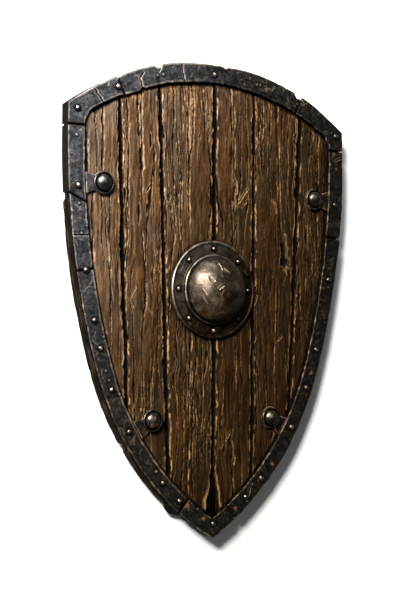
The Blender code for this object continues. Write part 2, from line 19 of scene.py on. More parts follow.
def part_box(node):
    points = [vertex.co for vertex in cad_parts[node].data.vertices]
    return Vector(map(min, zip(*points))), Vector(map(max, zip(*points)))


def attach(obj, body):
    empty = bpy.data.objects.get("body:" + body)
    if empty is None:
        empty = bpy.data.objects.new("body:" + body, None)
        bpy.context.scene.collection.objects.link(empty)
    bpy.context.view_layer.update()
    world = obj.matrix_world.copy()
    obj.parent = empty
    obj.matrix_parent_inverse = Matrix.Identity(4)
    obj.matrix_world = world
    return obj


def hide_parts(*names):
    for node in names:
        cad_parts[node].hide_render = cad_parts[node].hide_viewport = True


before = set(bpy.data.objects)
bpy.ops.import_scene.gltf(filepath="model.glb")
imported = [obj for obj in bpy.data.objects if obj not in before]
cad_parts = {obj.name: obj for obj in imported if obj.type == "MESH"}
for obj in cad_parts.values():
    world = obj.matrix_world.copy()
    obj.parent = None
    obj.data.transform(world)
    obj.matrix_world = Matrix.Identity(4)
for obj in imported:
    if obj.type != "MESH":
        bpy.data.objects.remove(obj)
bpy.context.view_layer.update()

# %% [markdown]
# ## Camera
# The photographer stands to the shield's left and a little below its middle. A long lens keeps
# the outline almost free of perspective. The camera could aim at a target, but its three axes are
# written out, because the roll matters as much as the aim.

# %% Place the camera
CAMERA_PLACE = (-1.2097, -0.0912, 1.9405)
CAMERA_RIGHT = Vector((0.8478, 0.0041, 0.5303))
CAMERA_UP = Vector((-0.0230, 0.9993, 0.0291))
LENS_MM = 117.5

back = CAMERA_RIGHT.cross(CAMERA_UP).normalized()
up = back.cross(CAMERA_RIGHT).normalized()
axes = Matrix((CAMERA_RIGHT.normalized(), up, back)).transposed()
lens = bpy.data.cameras.new("camera")
lens.lens = LENS_MM
lens.sensor_fit = 'HORIZONTAL'
lens.sensor_width = 36
camera = bpy.data.objects.new("camera", lens)
camera.matrix_world = Matrix.Translation(CAMERA_PLACE) @ axes.to_4x4()
bpy.context.scene.collection.objects.link(camera)
bpy.context.scene.camera = camera
print("camera is", round(Vector(CAMERA_PLACE).length, 2), "m from the shield")

# %% [markdown]
# ## Floor and light
# The shield lies on a plain pale floor. One soft lamp stands above its upper left, so relief shows
# on the upper left of every ridge, and the shadow falls to the lower right. A weaker lamp lights
# the top edge, and a weak white sky fills the shadows. A sun lamp could do this too, but it would
# light both ends alike, and here the lower right is darker.

# %% Light the floor
KEY_DIRECTION = Vector((-1.09, 0.74, 1.00))
KEY_DISTANCE = 4.5
KEY_SIZE = 1.15
KEY_WATTS = 620
KEY_COLOUR = (1.0, 0.97, 0.93)
TOP_DIRECTION = Vector((-0.25, 0.85, 0.50))
TOP_DISTANCE = 3.5
TOP_SIZE = 0.7
TOP_WATTS = 42
TOP_COLOUR = (0.92, 0.96, 1.0)
SKY = (1.0, 1.0, 1.0)
SKY_STRENGTH = 0.10
FLOOR_HALF = 30
FLOOR_LEVEL = -0.0006
FLOOR_GREY = 0.93

scene = bpy.context.scene
scene.view_settings.view_transform = 'Standard'


def add_lamp(name, place, size, watts, colour):
    """A square lamp that faces the middle of the shield."""
    data = bpy.data.lights.new(name, 'AREA')
    data.size = size
    data.energy = watts
    data.color = colour
    lamp = bpy.data.objects.new(name, data)
    lamp.location = place
    lamp.rotation_euler = Vector(place).to_track_quat('Z', 'Y').to_euler()
    scene.collection.objects.link(lamp)
    return lamp


add_lamp("key_lamp", KEY_DIRECTION.normalized() * KEY_DISTANCE, KEY_SIZE, KEY_WATTS, KEY_COLOUR)
add_lamp("top_lamp", TOP_DIRECTION.normalized() * TOP_DISTANCE, TOP_SIZE, TOP_WATTS, TOP_COLOUR)
world = scene.world or bpy.data.worlds.new("world")
scene.world = world
world.use_nodes = True
world.node_tree.nodes["Background"].inputs["Color"].default_value = (*SKY, 1)
world.node_tree.nodes["Background"].inputs["Strength"].default_value = SKY_STRENGTH

floor_mesh = bpy.data.meshes.new("floor")
shape = bmesh.new()
bmesh.ops.create_grid(shape, x_segments=1, y_segments=1, size=FLOOR_HALF)
shape.to_mesh(floor_mesh)
shape.free()
floor = bpy.data.objects.new("floor", floor_mesh)
floor.location.z = FLOOR_LEVEL
scene.collection.objects.link(floor)
floor_paint = bpy.data.materials.new("pale_floor")
floor_paint.use_nodes = True
floor_shader = floor_paint.node_tree.nodes["Principled BSDF"]
floor_shader.inputs["Base Color"].default_value = (FLOOR_GREY, FLOOR_GREY, FLOOR_GREY, 1)
floor_shader.inputs["Roughness"].default_value = 0.9
floor_shader.inputs["Specular IOR Level"].default_value = 0.0
floor_mesh.materials.append(floor_paint)

# %% [markdown]
# ## Chance that repeats
# Wear has no pattern, but it has to be the same each time. The usual way is a table of random
# numbers. A hash is shorter: it turns any whole-number place into a number that looks random.
# Hills between those places, smoothly joined, are called value noise.

# %% Make smooth chance


def scatter(ix, iy, seed):
    """A number from 0 to 1 for each whole-number place."""
    mixed = (ix * 374761393 + iy * 668265263 + seed * 974634777) & 0xffffffff
    mixed = ((mixed ^ (mixed >> 13)) * 1274126177) & 0xffffffff
    return ((mixed ^ (mixed >> 16)) & 0xffff) / 65535.0


def hills(x, y, seed):
    """Smooth hills from 0 to 1, about one to a unit."""
    x, y = np.broadcast_arrays(np.asarray(x, float), np.asarray(y, float))
    ix, iy = np.floor(x).astype(np.int64), np.floor(y).astype(np.int64)
    fx, fy = x - ix, y - iy
    fx, fy = fx * fx * (3 - 2 * fx), fy * fy * (3 - 2 * fy)
    low = scatter(ix, iy, seed) * (1 - fx) + scatter(ix + 1, iy, seed) * fx
    high = scatter(ix, iy + 1, seed) * (1 - fx) + scatter(ix + 1, iy + 1, seed) * fx
    return low * (1 - fy) + high * fy


def ease(value, start, end):
    """0 before start, 1 after end, smooth between them."""
    part = np.clip((value - start) / (end - start), 0, 1)
    return part * part * (3 - 2 * part)


def fade(value, start, end):
    """1 before start, 0 after end."""
    return 1 - ease(value, start, end)


def spots(x, y, size, seed):
    """Round hills, about one to a size."""
    return hills(x / size, y / size, seed)


def wave(places, size, line, seed):
    """Hills along a line, such as an edge. Each line has its own."""
    return hills(places / size, places * 0 + line, seed)


print("two equal draws:", scatter(3, 4, 5) == scatter(3, 4, 5))

# %% [markdown]
# ## The outline
# A heater shield has an arched top, short straight sides, and long curves down to the tip. The
# same few sizes as in the solid model give any point of it: how far round the edge, and how far
# in. Tracing it point by point would work for one line, but every board and band needs its own.

# %% Work out the outline
WIDTH = 0.550
HEIGHT = 0.804
CROWN_RISE = 0.091
STRAIGHT_SIDE = 0.0784 * HEIGHT
SHOULDER_RADIUS = 1.58 * HEIGHT
SHOULDER_TURN = math.radians(17)
BACK = 0.0123
FRONT = 0.0338
BAND_BOTTOM = 0.0341
BAND_TOP = 0.0366
BAND_WIDTH = 0.030
BOSS_Y = 0.0233 * HEIGHT
FLANGE_RADIUS = 0.083

CORNER_X = WIDTH / 2
CORNER_Y = HEIGHT / 2 - CROWN_RISE
TIP_Y = -HEIGHT / 2
CROWN_RADIUS = (CORNER_X ** 2 + CROWN_RISE ** 2) / (2 * CROWN_RISE)
CROWN_Y = HEIGHT / 2 - CROWN_RADIUS
SHOULDER_X = CORNER_X - SHOULDER_RADIUS
SHOULDER_Y = CORNER_Y - STRAIGHT_SIDE
HIP_X = SHOULDER_X + SHOULDER_RADIUS * math.cos(SHOULDER_TURN)
HIP_Y = SHOULDER_Y - SHOULDER_RADIUS * math.sin(SHOULDER_TURN)
reach_x, reach_y = -HIP_X, TIP_Y - HIP_Y
FLANK_RADIUS = -(reach_x ** 2 + reach_y ** 2) / (
    2 * (reach_x * math.cos(SHOULDER_TURN) - reach_y * math.sin(SHOULDER_TURN)))
FLANK_X = HIP_X - FLANK_RADIUS * math.cos(SHOULDER_TURN)
FLANK_Y = HIP_Y + FLANK_RADIUS * math.sin(SHOULDER_TURN)
CORNER_RUN = CROWN_RADIUS * math.asin(CORNER_X / CROWN_RADIUS)
STRAIGHT_RUN = CORNER_RUN + STRAIGHT_SIDE
HIP_RUN = STRAIGHT_RUN + SHOULDER_RADIUS * SHOULDER_TURN
TIP_RUN = HIP_RUN + FLANK_RADIUS * (math.acos(-FLANK_X / FLANK_RADIUS) - SHOULDER_TURN)


def rim_points(run, inset):
    """Points of the outline: runs from the crown, negative ones down the left, moved inwards."""
    run, inset = np.broadcast_arrays(np.asarray(run, float), np.asarray(inset, float))
    half = (run + TIP_RUN) % (2 * TIP_RUN) - TIP_RUN
    far = np.abs(half)
    radius = CROWN_RADIUS - inset
    turn = np.minimum(far / CROWN_RADIUS, np.arcsin((CORNER_X - inset) / radius))
    crown = radius * np.sin(turn), CROWN_Y + radius * np.cos(turn)
    mitre = CROWN_Y + np.sqrt(radius ** 2 - (CORNER_X - inset) ** 2)
    straight = CORNER_X - inset, np.minimum(CORNER_Y - (far - CORNER_RUN), mitre)
    turn = (far - STRAIGHT_RUN) / SHOULDER_RADIUS
    radius = SHOULDER_RADIUS - inset
    shoulder = SHOULDER_X + radius * np.cos(turn), SHOULDER_Y - radius * np.sin(turn)
    radius = FLANK_RADIUS - inset
    turn = SHOULDER_TURN + (far - HIP_RUN) / FLANK_RADIUS
    turn = np.minimum(turn, np.arccos(-FLANK_X / radius))
    flank = FLANK_X + radius * np.cos(turn), FLANK_Y - radius * np.sin(turn)
    stretch = [far < CORNER_RUN, far < STRAIGHT_RUN, far < HIP_RUN]
    x = np.select(stretch, [crown[0], straight[0], shoulder[0]], flank[0])
    y = np.select(stretch, [crown[1], straight[1], shoulder[1]], flank[1])
    return np.copysign(x, half), y


def side_x(y, inset=0.0):
    """How far from the middle the side is at a height."""
    y = np.asarray(y, float)

    def bow(middle_x, middle_y, radius):
        """The x of a bowed stretch of the side."""
        return middle_x + np.sqrt(np.maximum((radius - inset) ** 2 - (y - middle_y) ** 2, 0))

    shoulder = bow(SHOULDER_X, SHOULDER_Y, SHOULDER_RADIUS)
    flank = bow(FLANK_X, FLANK_Y, FLANK_RADIUS)
    return np.where(y > SHOULDER_Y, CORNER_X - inset, np.where(y > HIP_Y, shoulder, flank))


def crown_height(x, inset=0.0):
    """The y of the top edge at an x."""
    return CROWN_Y + np.sqrt((CROWN_RADIUS - inset) ** 2 - np.asarray(x, float) ** 2)


def edge_distance(x, y):
    """How far inside the outline a point is."""
    x = np.abs(x)
    crown = CROWN_RADIUS - np.hypot(x, y - CROWN_Y)
    shoulder = SHOULDER_RADIUS - np.hypot(x - SHOULDER_X, y - SHOULDER_Y)
    flank = FLANK_RADIUS - np.hypot(x - FLANK_X, y - FLANK_Y)
    side = np.where(y > SHOULDER_Y, CORNER_X - x, np.where(y > HIP_Y, shoulder, flank))
    return np.minimum(crown, side)


def run_at_height(y, inset=0.0):
    """Run at which the right side, moved inwards, passes a height."""
    if y > SHOULDER_Y:
        return CORNER_RUN + CORNER_Y - y
    turn = math.asin((SHOULDER_Y - y) / (SHOULDER_RADIUS - inset))
    if turn < SHOULDER_TURN:
        return STRAIGHT_RUN + SHOULDER_RADIUS * turn
    turn = math.asin((FLANK_Y - y) / (FLANK_RADIUS - inset))
    return HIP_RUN + FLANK_RADIUS * (turn - SHOULDER_TURN)


def run_at_x(x, inset=0.0):
    """Run at which the top edge, moved inwards, passes an x."""
    return CROWN_RADIUS * math.asin(x / (CROWN_RADIUS - inset))


print("once round the edge:", round(2 * TIP_RUN, 3), "m")

# %% [markdown]
# ## A short way to write materials
# A material is a tree of nodes. Adding them one by one with Blender's own calls is long, so a small
# helper adds a node, sets its options and links its inputs in one line. Pieces carry a few numbers
# on every point: wear with painted highlights, grime with painted shade, rusty on iron and pale on
# boards. The materials read them, and that ties paint to shape.

# %% Make the material helper
# Specular level of old oak and iron
DULL = 0.03


class Recipe:
    """A material in the making."""

    def __init__(self, name):
        self.material = bpy.data.materials.new(name)
        self.material.use_nodes = True
        self.tree = self.material.node_tree
        self.tree.nodes.clear()

    def add(self, kind, inputs=None, **options):
        """Adds a node. Its inputs are plain values or the outputs of other nodes."""
        node = self.tree.nodes.new("ShaderNode" + kind)
        for option, value in options.items():
            setattr(node, option, value)
        for key, value in (inputs or {}).items():
            if isinstance(value, bpy.types.NodeSocket):
                self.tree.links.new(value, node.inputs[key])
            else:
                node.inputs[key].default_value = value
        return node

    def place(self, scale, turn=(0, 0, 0)):
        """Places on the piece, stretched by a scale."""
        spot = self.add("TexCoord").outputs["Object"]
        return self.add("Mapping", {"Vector": spot, "Scale": scale, "Rotation": turn}).outputs[0]

    def noise(self, scale, detail=4.0, roughness=0.6, twist=0.0, turn=(0, 0, 0)):
        """Noise with so many hills to a metre along each axis."""
        return self.add("TexNoise", {"Vector": self.place(scale, turn), "Scale": 1.0, "Detail": detail,
                                     "Roughness": roughness, "Distortion": twist}).outputs["Fac"]

    def mark(self, name):
        """A number that the piece carries on its points."""
        return self.add("Attribute", attribute_name=name).outputs["Fac"]

    def range(self, value, low, high, to_low=0.0, to_high=1.0):
        """Stretches a range of values to another."""
        return self.add("MapRange", {"Value": value, "From Min": low, "From Max": high,
                                     "To Min": to_low, "To Max": to_high}).outputs["Result"]

    def sums(self, operation, first, second):
        """One sum with two numbers."""
        return self.add("Math", {0: first, 1: second}, operation=operation, use_clamp=True).outputs[0]

    def ramp(self, value, stops):
        """Colours along a value."""
        node = self.add("ValToRGB", {"Fac": value})
        marks = node.color_ramp.elements
        while len(marks) < len(stops):
            marks.new(0.5)
        for mark, (place, colour) in zip(marks, stops):
            mark.position = place
            mark.color = (*colour, 1)
        return node.outputs["Color"]

    def mix(self, factor, first, second, blend='MIX'):
        """Mixes two colours."""
        node = self.add("Mix", data_type='RGBA', blend_type=blend)
        for key, value in ((0, factor), (6, first), (7, second)):
            if isinstance(value, bpy.types.NodeSocket):
                self.tree.links.new(value, node.inputs[key])
            elif key == 0:
                node.inputs[key].default_value = value
            else:
                node.inputs[key].default_value = (*value, 1)
        return node.outputs[2]

    def across(self, x_share, y_share, start, stops):
        """Colours along a slanting line over the shield."""
        place = self.add("SeparateXYZ", {0: self.add("TexCoord").outputs["Object"]})
        along = start
        for axis, share in (("X", x_share), ("Y", y_share)):
            along = self.add("Math", {0: place.outputs[axis], 1: share, 2: along},
                             operation='MULTIPLY_ADD').outputs[0]
        return along, self.ramp(along, stops)

    def finish(self, colour, roughness, metallic, height=None, bump=0.0005, specular=0.5):
        """Joins all to the surface shader."""
        shader = self.add("BsdfPrincipled", {"Base Color": colour, "Roughness": roughness,
                                             "Metallic": metallic, "Specular IOR Level": specular})
        if height is not None:
            relief = self.add("Bump", {"Height": height, "Distance": bump, "Strength": 1.0})
            self.tree.links.new(relief.outputs[0], shader.inputs["Normal"])
        output = self.add("OutputMaterial")
        self.tree.links.new(shader.outputs[0], output.inputs["Surface"])
        return self.material


print("materials so far:", len(bpy.data.materials))

# %% [markdown]
# ## Weathered oak
# Old oak is silver brown where it stands proud, warm where fibres broke lately, and black in its
# cracks. Fine noise, stretched along the grain, makes the fibres. The carved marks then lighten
# crests, partly as wear and partly as painted highlights, and darken cracks and hollows, partly as
# painted shade. Painted shade also darkens every tone towards the lower right, away from the lamp.

# %% Mix the oak
# Colours from dark fibres to pale ones
OAK_TONES = ((0.08, (0.0090, 0.0054, 0.0030)), (0.36, (0.034, 0.0205, 0.0112)),
             (0.62, (0.074, 0.0455, 0.0250)), (0.95, (0.150, 0.098, 0.057)))
OAK_WARMTH = (1.20, 0.92, 0.62)
OAK_CRACK_AND_SHADE = (0.0022, 0.0014, 0.0009)
# Share of X, share of Y and start of the line from the upper left to the lower right, along which
# light and shade are painted
SLANT = (1.40, -0.70, 0.60)
# Painted shade: how the tones darken along that line, away from the lamp. And the colour of broken
# crests, painted brighter towards the upper left as a highlight
OAK_LIGHT_FALLOFF = ((0.00, (2.10, 2.36, 2.98)), (0.25, (1.35, 1.39, 1.50)), (0.50, (0.54, 0.48, 0.36)),
            (0.75, (0.285, 0.232, 0.130)), (1.00, (0.205, 0.164, 0.083)))
OAK_RUBBED_AND_LIT_CRESTS = ((0.10, (0.540, 0.395, 0.260)), (0.50, (0.420, 0.250, 0.115)),
              (0.90, (0.250, 0.128, 0.048)))
OAK_RELIEF = 0.0016


def oak(name, bright=1.0, crosswise=False):
    """Weathered oak, its grain along Y, or X if crosswise."""
    made = Recipe(name)

    def stretched(across, along):
        """Hills to a metre on each axis, from those across the grain and along it."""
        return (along, across, across) if crosswise else (across, along, across)

    fibre = made.noise(stretched(560, 32), 6, 0.70, 1.1)
    streak = made.noise(stretched(170, 11), 5, 0.66, 1.6)
    fleck = made.noise(stretched(330, 70), 3, 0.6, 1.4)
    patch = made.noise(stretched(26, 7), 4, 0.6, 0.4)
    tone = made.sums('ADD', made.range(fibre, 0.30, 0.72, 0.0, 0.44),
                     made.range(streak, 0.3, 0.7, 0.0, 0.30))
    tone = made.sums('ADD', tone, made.range(made.mark("pale"), 0.0, 1.0, 0.0, 0.26))
    body = made.ramp(tone, OAK_TONES)
    warm = made.mix(made.range(patch, 0.40, 0.62, 0.0, 0.85), body, OAK_WARMTH, 'MULTIPLY')
    # Painted light falloff: tones darken towards the lower right as painted shade, and the crest colour
    # below is a painted highlight, brightest at the upper left
    slope, aged = made.across(*SLANT, OAK_LIGHT_FALLOFF)
    colour = made.mix(1.0, warm, aged, 'MULTIPLY')
    crest = made.ramp(slope, OAK_RUBBED_AND_LIT_CRESTS)
    broken = made.range(made.noise(stretched(300, 75), 3, 0.6), 0.38, 0.56, 0.25, 1.0)
    lit = made.sums('MAXIMUM', made.sums('MULTIPLY', made.mark("wear_and_highlight"), broken),
                    made.range(fleck, 0.72, 0.80, 0.0, 0.35))
    colour = made.mix(lit, colour, crest)
    # Black for cracks and grime, and for painted shade in hollows, seams, walls and under the band
    colour = made.mix(made.mark("grime_and_shade"), colour, OAK_CRACK_AND_SHADE)
    colour = made.mix(1.0, colour, (bright, bright, bright), 'MULTIPLY')
    rough = made.range(fibre, 0.3, 0.7, 0.80, 0.55)
    height = made.sums('ADD', made.range(fibre, 0, 1, 0, 0.55), made.range(fleck, 0, 1, 0, 0.45))
    return made.finish(colour, rough, 0.0, height, OAK_RELIEF, specular=DULL)


face_oak = oak("weathered_board_oak", 1.10)
batten_oak = oak("sawn_batten_oak", 0.80, True)
grip_oak = oak("handled_grip_oak", 0.62, True)
print("oaks:", [m.name for m in (face_oak, batten_oak, grip_oak)])

# %% [markdown]
# ## How the boards are carved
# Each real board has strands that wind down it, splits, pits and gouges. Sculpting by hand would
# give this too, but it can't be repeated. Here every feature is a rule: given a place on the face,
# it says how deep the wood is gone. The rules add up to one height for each point.

# %% List the seams, splits and marks
SEAMS = [(a * WIDTH, b * WIDTH) for a, b in
         ((-0.3364, -0.2964), (-0.1945, -0.1618), (0.0, 0.0), (0.1482, 0.1427), (0.3291, 0.28))]
SEAM_SPAN = 0.300
# The worn seams lie a little to the right of the solid model's
SEAM_SHIFT = (0.0045, 0.0045, 0.0040, 0.0040, 0.0025)
MARK_SHIFT = 0.0035
SEAM_RECESS = (0.0023, 0.0015, 0.0026, 0.0007, 0.0014)
# Splits: x and y at the upper end, x and y at the lower end, half width, depth
SPLITS = (
    (-0.217, 0.315, -0.211, 0.160, 0.0011, 0.0045),
    (-0.211, 0.160, -0.196, -0.010, 0.0009, 0.0035),
    (-0.142, 0.350, -0.141, 0.150, 0.0012, 0.0050),
    (-0.141, 0.118, -0.133, 0.048, 0.0008, 0.0030),
    (-0.125, -0.128, -0.125, -0.185, 0.0011, 0.0035),
    (-0.053, 0.372, -0.049, 0.100, 0.0011, 0.0050),
    (-0.046, -0.052, -0.049, -0.230, 0.0011, 0.0045),
    (-0.049, -0.236, -0.053, -0.325, 0.0012, 0.0045),
    (0.040, 0.370, 0.043, 0.100, 0.0008, 0.0035),
    (0.044, -0.085, 0.046, -0.160, 0.0007, 0.0030),
    (0.034, -0.225, 0.040, -0.335, 0.0008, 0.0032),
    (0.130, 0.352, 0.134, 0.225, 0.0013, 0.0050),
    (0.134, 0.225, 0.140, 0.120, 0.0008, 0.0035),
    (0.127, 0.030, 0.124, -0.190, 0.0008, 0.0035),
    (0.122, -0.222, 0.119, -0.262, 0.0014, 0.0040),
    (0.217, 0.262, 0.219, 0.195, 0.0011, 0.0035),
    (0.216, 0.165, 0.219, 0.096, 0.0011, 0.0035),
    (0.166, 0.290, 0.163, 0.200, 0.0008, 0.0025),
    (-0.118, 0.256, -0.118, 0.193, 0.0010, 0.0025),
    (-0.075, 0.300, -0.070, 0.215, 0.0007, 0.0022),
    (0.020, -0.130, 0.014, -0.250, 0.0006, 0.0025),
)
# Pits: x, y, half width, half length, depth
PITS = (
    (-0.1430, 0.137, 0.0030, 0.016, 0.0065),
    (0.1490, 0.088, 0.0062, 0.021, 0.0100),
    (0.1502, 0.073, 0.0098, 0.012, 0.0100),
    (-0.169, 0.170, 0.0026, 0.013, 0.0040),
    (-0.122, 0.262, 0.0022, 0.011, 0.0030),
    (-0.098, 0.280, 0.0026, 0.012, 0.0045),
    (-0.002, 0.180, 0.0036, 0.022, 0.0060),
    (0.001, 0.255, 0.0028, 0.018, 0.0050),
    (-0.088, -0.196, 0.0030, 0.014, 0.0050),
    (0.080, -0.292, 0.0034, 0.012, 0.0055),
    (-0.128, 0.152, 0.0022, 0.009, 0.0030),
    (-0.020, -0.090, 0.0018, 0.012, 0.0028),
    (0.176, 0.150, 0.0030, 0.030, 0.0050),
    (0.158, -0.130, 0.0020, 0.016, 0.0030),
)
# Gouges: ends x, y and x, y, half width, depth
GOUGES = (
    (-0.118, 0.193, -0.129, 0.177, 0.0010, 0.0018),
    (0.048, 0.208, 0.050, 0.187, 0.0011, 0.0016),
    (-0.062, 0.208, -0.065, 0.197, 0.0010, 0.0014),
    (0.156, 0.061, 0.168, 0.062, 0.0009, 0.0012),
    (0.125, 0.179, 0.132, 0.171, 0.0010, 0.0014),
    (0.131, 0.171, 0.133, 0.158, 0.0009, 0.0014),
    (0.132, -0.070, 0.146, -0.059, 0.0009, 0.0015),
    (0.044, -0.277, 0.046, -0.267, 0.0013, 0.0018),
    (0.031, -0.232, 0.039, -0.221, 0.0010, 0.0016),
    (0.019, -0.249, 0.029, -0.235, 0.0009, 0.0015),
    (0.055, 0.172, 0.072, 0.196, 0.0010, 0.0016),
    (0.060, 0.163, 0.074, 0.178, 0.0008, 0.0014),
    (-0.082, 0.172, -0.089, 0.158, 0.0009, 0.0014),
    (-0.148, 0.018, -0.160, -0.004, 0.0007, 0.0010),
    (-0.160, -0.004, -0.152, -0.014, 0.0006, 0.0009),
    (-0.050, -0.108, -0.039, -0.122, 0.0009, 0.0015),
    (-0.039, -0.122, -0.041, -0.142, 0.0009, 0.0015),
    (-0.128, -0.012, -0.117, -0.024, 0.0006, 0.0009),
    (-0.075, 0.046, -0.066, 0.061, 0.0009, 0.0014),
    (0.086, -0.008, 0.094, 0.010, 0.0009, 0.0014),
)
ROT_TOP = -0.258
ROT_HALF_WIDTH = 0.0125
ROT_LENGTH = 0.090
ROT_DEPTH = 0.0115

print(len(SPLITS), "splits,", len(PITS), "pits and", len(GOUGES), "gouges")

# %% [markdown]
# Strands are noise that is long down the board and narrow across it. Where the noise passes its
# middle value, a groove runs. Bending the places first, by slower noise, makes the strands wind
# round knots.

# %% Carve the strands


def strands(x, y, seed, width, length, half):
    """Grooves between strands, about one to a width: 1 along their middle, 0 from a half width on."""
    phase = x / width + 1.5 * hills(x / (3.5 * width), y / length, seed)
    phase = phase + 0.35 * hills(x / width, y / (0.3 * length), seed + 91)
    line = np.round(phase)
    strength = ease(hills(line, y / (0.55 * length), seed + 92), 0.22, 0.62)
    half = half * (0.45 + 1.1 * hills(x / 0.004, y / 0.011, seed + 90)) * strength + 1e-6
    return fade(np.abs(phase - line) * width, half * 0.25, half) * (strength > 0.01)


def flakes(x, y, seed, width, length):
    """Steps where a layer of fibres has broken off: 1 on the layer, 0 beside it."""
    return ease(hills(x / width, y / length, seed), 0.44, 0.58)


def fibres(x, y, board):
    """Strands and broken flakes: how deep, black and pale each place is."""
    seed = 40 * board
    bent = x + 0.0100 * (hills(x / 0.040, y / 0.110, seed + 1) - 0.5)
    bent = bent + 0.0042 * (hills(x / 0.013, y / 0.034, seed + 2) - 0.5)
    torn = bent + 0.0018 * (hills(x / 0.004, y / 0.007, seed + 11) - 0.5)
    lift = 0.0007 * scatter(np.int64(board), np.int64(7), 3)
    broad = 0.0010 * hills(bent / 0.026, y / 0.15, seed + 3)
    ridge = hills(torn / 0.0056, y / 0.042, seed + 16)
    cord = hills(torn / 0.0027, y / 0.021, seed + 17)
    fine = hills(torn / 0.0019, y / 0.016, seed + 7)
    wide = strands(torn, y, seed + 4, 0.0165, 0.260, 0.0018)
    narrow = strands(torn + 0.002, y, seed + 5, 0.0078, 0.130, 0.0013)
    thin = strands(torn, y, seed + 6, 0.0041, 0.060, 0.0009)
    thin = thin * ease(hills(x / 0.030, y / 0.080, seed + 15), 0.35, 0.75)
    calm = 0.15 + 0.85 * ease(hills(x / 0.035, y / 0.110, seed + 8), 0.15, 0.85)
    layer = flakes(torn, y, seed + 12, 0.0085, 0.034)
    chips = flakes(torn, y, seed + 13, 0.0042, 0.013)
    crumbs = flakes(torn, y, seed + 14, 0.0024, 0.0065)
    depth = lift + broad + 0.0011 * (1 - ridge) + 0.0005 * (1 - cord) + 0.0005 * fine
    depth = depth + 0.0021 * wide + (0.0018 * narrow + 0.0011 * thin) * calm
    depth = depth + 0.0009 * (1 - layer) * calm
    depth = depth + (0.0008 * (1 - chips) + 0.0005 * (1 - crumbs)) * (0.35 + 0.65 * calm)
    black = 0.90 * ease(wide, 0.25, 0.85) + 0.75 * ease(narrow * calm, 0.25, 0.8)
    black = black + 0.6 * ease(thin * calm, 0.35, 0.8) + 0.22 * (1 - chips) * (1 - layer)
    return depth, black, ease(0.6 * ridge + 0.4 * cord, 0.25, 0.75)


print("depth of strands:", fibres(np.array([0.02, 0.03]), np.array([0.1, 0.1]), 3)[0].round(4), "m")

# %% [markdown]
# A split is a groove round a line that tapers to both ends, and a gouge is a groove round a short
# one. A loop applies each kind of mark in turn, and later marks go over earlier ones. Cutting them
# out of the mesh would give sharper lips, but it would also break the even rows of points.

# %% Cut the marks


def groove(away, half_width):
    """Cross-section of a split: 1 in the middle, 0 at its lips."""
    return fade(away, half_width * 0.35, half_width * 1.5)


def near_segment(x, y, x0, y0, x1, y1):
    """Distance from a straight line between two points."""
    length = (x1 - x0) ** 2 + (y1 - y0) ** 2
    along = np.clip(((x - x0) * (x1 - x0) + (y - y0) * (y1 - y0)) / length, 0, 1)
    return np.hypot(x - x0 - along * (x1 - x0), y - y0 - along * (y1 - y0))


def cut_splits(x, y, board, depth, scuff_and_highlight, black):
    """Adds the splits, with a painted highlight on the lip to their right, which faces the lamp."""
    sway = 0.0035 * (hills(x * 0 + board, y / 0.045, 40 * board + 9) - 0.5)
    for number, (x0, y0, x1, y1, half, deep) in enumerate(SPLITS):
        part = (y0 - y) / (y0 - y1)
        line = MARK_SHIFT + x0 + (x1 - x0) * part + sway + 0.0016 * (wave(y, 0.011, number, 77) - 0.5)
        taper = np.clip(4 * part + 0.35, 0, 1) * np.clip(4 * (1 - part) + 0.15, 0, 1)
        ragged = 0.55 + 1.0 * wave(y, 0.009, number, 78)
        away = np.abs(x - line)
        cut = groove(away, 1.45 * half * ragged * taper + 1e-6) * (taper > 0)
        depth = np.maximum(depth, depth * 0.6 + deep * cut * taper)
        black = np.maximum(black, cut * (taper > 0.05))
        # Painted highlight on the lip right of each split
        lip = ease(away, half * 1.4, half * 2.2) * fade(away, half * 2.4, half * 3.6) * (x > line)
        scuff_and_highlight = np.maximum(scuff_and_highlight, lip * taper * 0.9 * ease(ragged, 0.7, 1.2))
    return depth, scuff_and_highlight, black


def cut_pits(x, y, board, depth, scuff_and_highlight, black):
    """Adds the pits, with a painted highlight on the rim to their right."""
    for px, py, half_width, half_length, deep in PITS:
        ragged = 1 + 0.7 * (hills(x / 0.0025, y / 0.008, 91) - 0.5)
        away = np.hypot((x - px) / half_width, (y - py) / half_length) * ragged
        depth = np.maximum(depth, deep * fade(away, 0.45, 1.15))
        black = np.maximum(black, fade(away, 0.75, 1.05))
        # Painted highlight on the rim right of each pit
        rim = 0.45 * ease(away, 1.0, 1.2) * fade(away, 1.3, 1.6) * (x > px)
        scuff_and_highlight = np.maximum(scuff_and_highlight * ease(away, 0.9, 1.3), rim)
    return depth, scuff_and_highlight, black


def cut_gouges(x, y, board, depth, scuff_and_highlight, black):
    """Adds the gouges, with wood pushed up beside them."""
    for *ends, half, deep in GOUGES:
        away = near_segment(x, y, *ends)
        cut = fade(away, half * 0.4, half * 1.4)
        depth = depth + deep * cut - deep * 0.5 * np.exp(-((away - half * 2.0) / half) ** 2)
        scuff_and_highlight = np.maximum(scuff_and_highlight, 0.6 * np.exp(-((away - half * 1.3) / (half * 0.9)) ** 2))
        black = np.maximum(black, 0.75 * cut)
    return depth, scuff_and_highlight, black


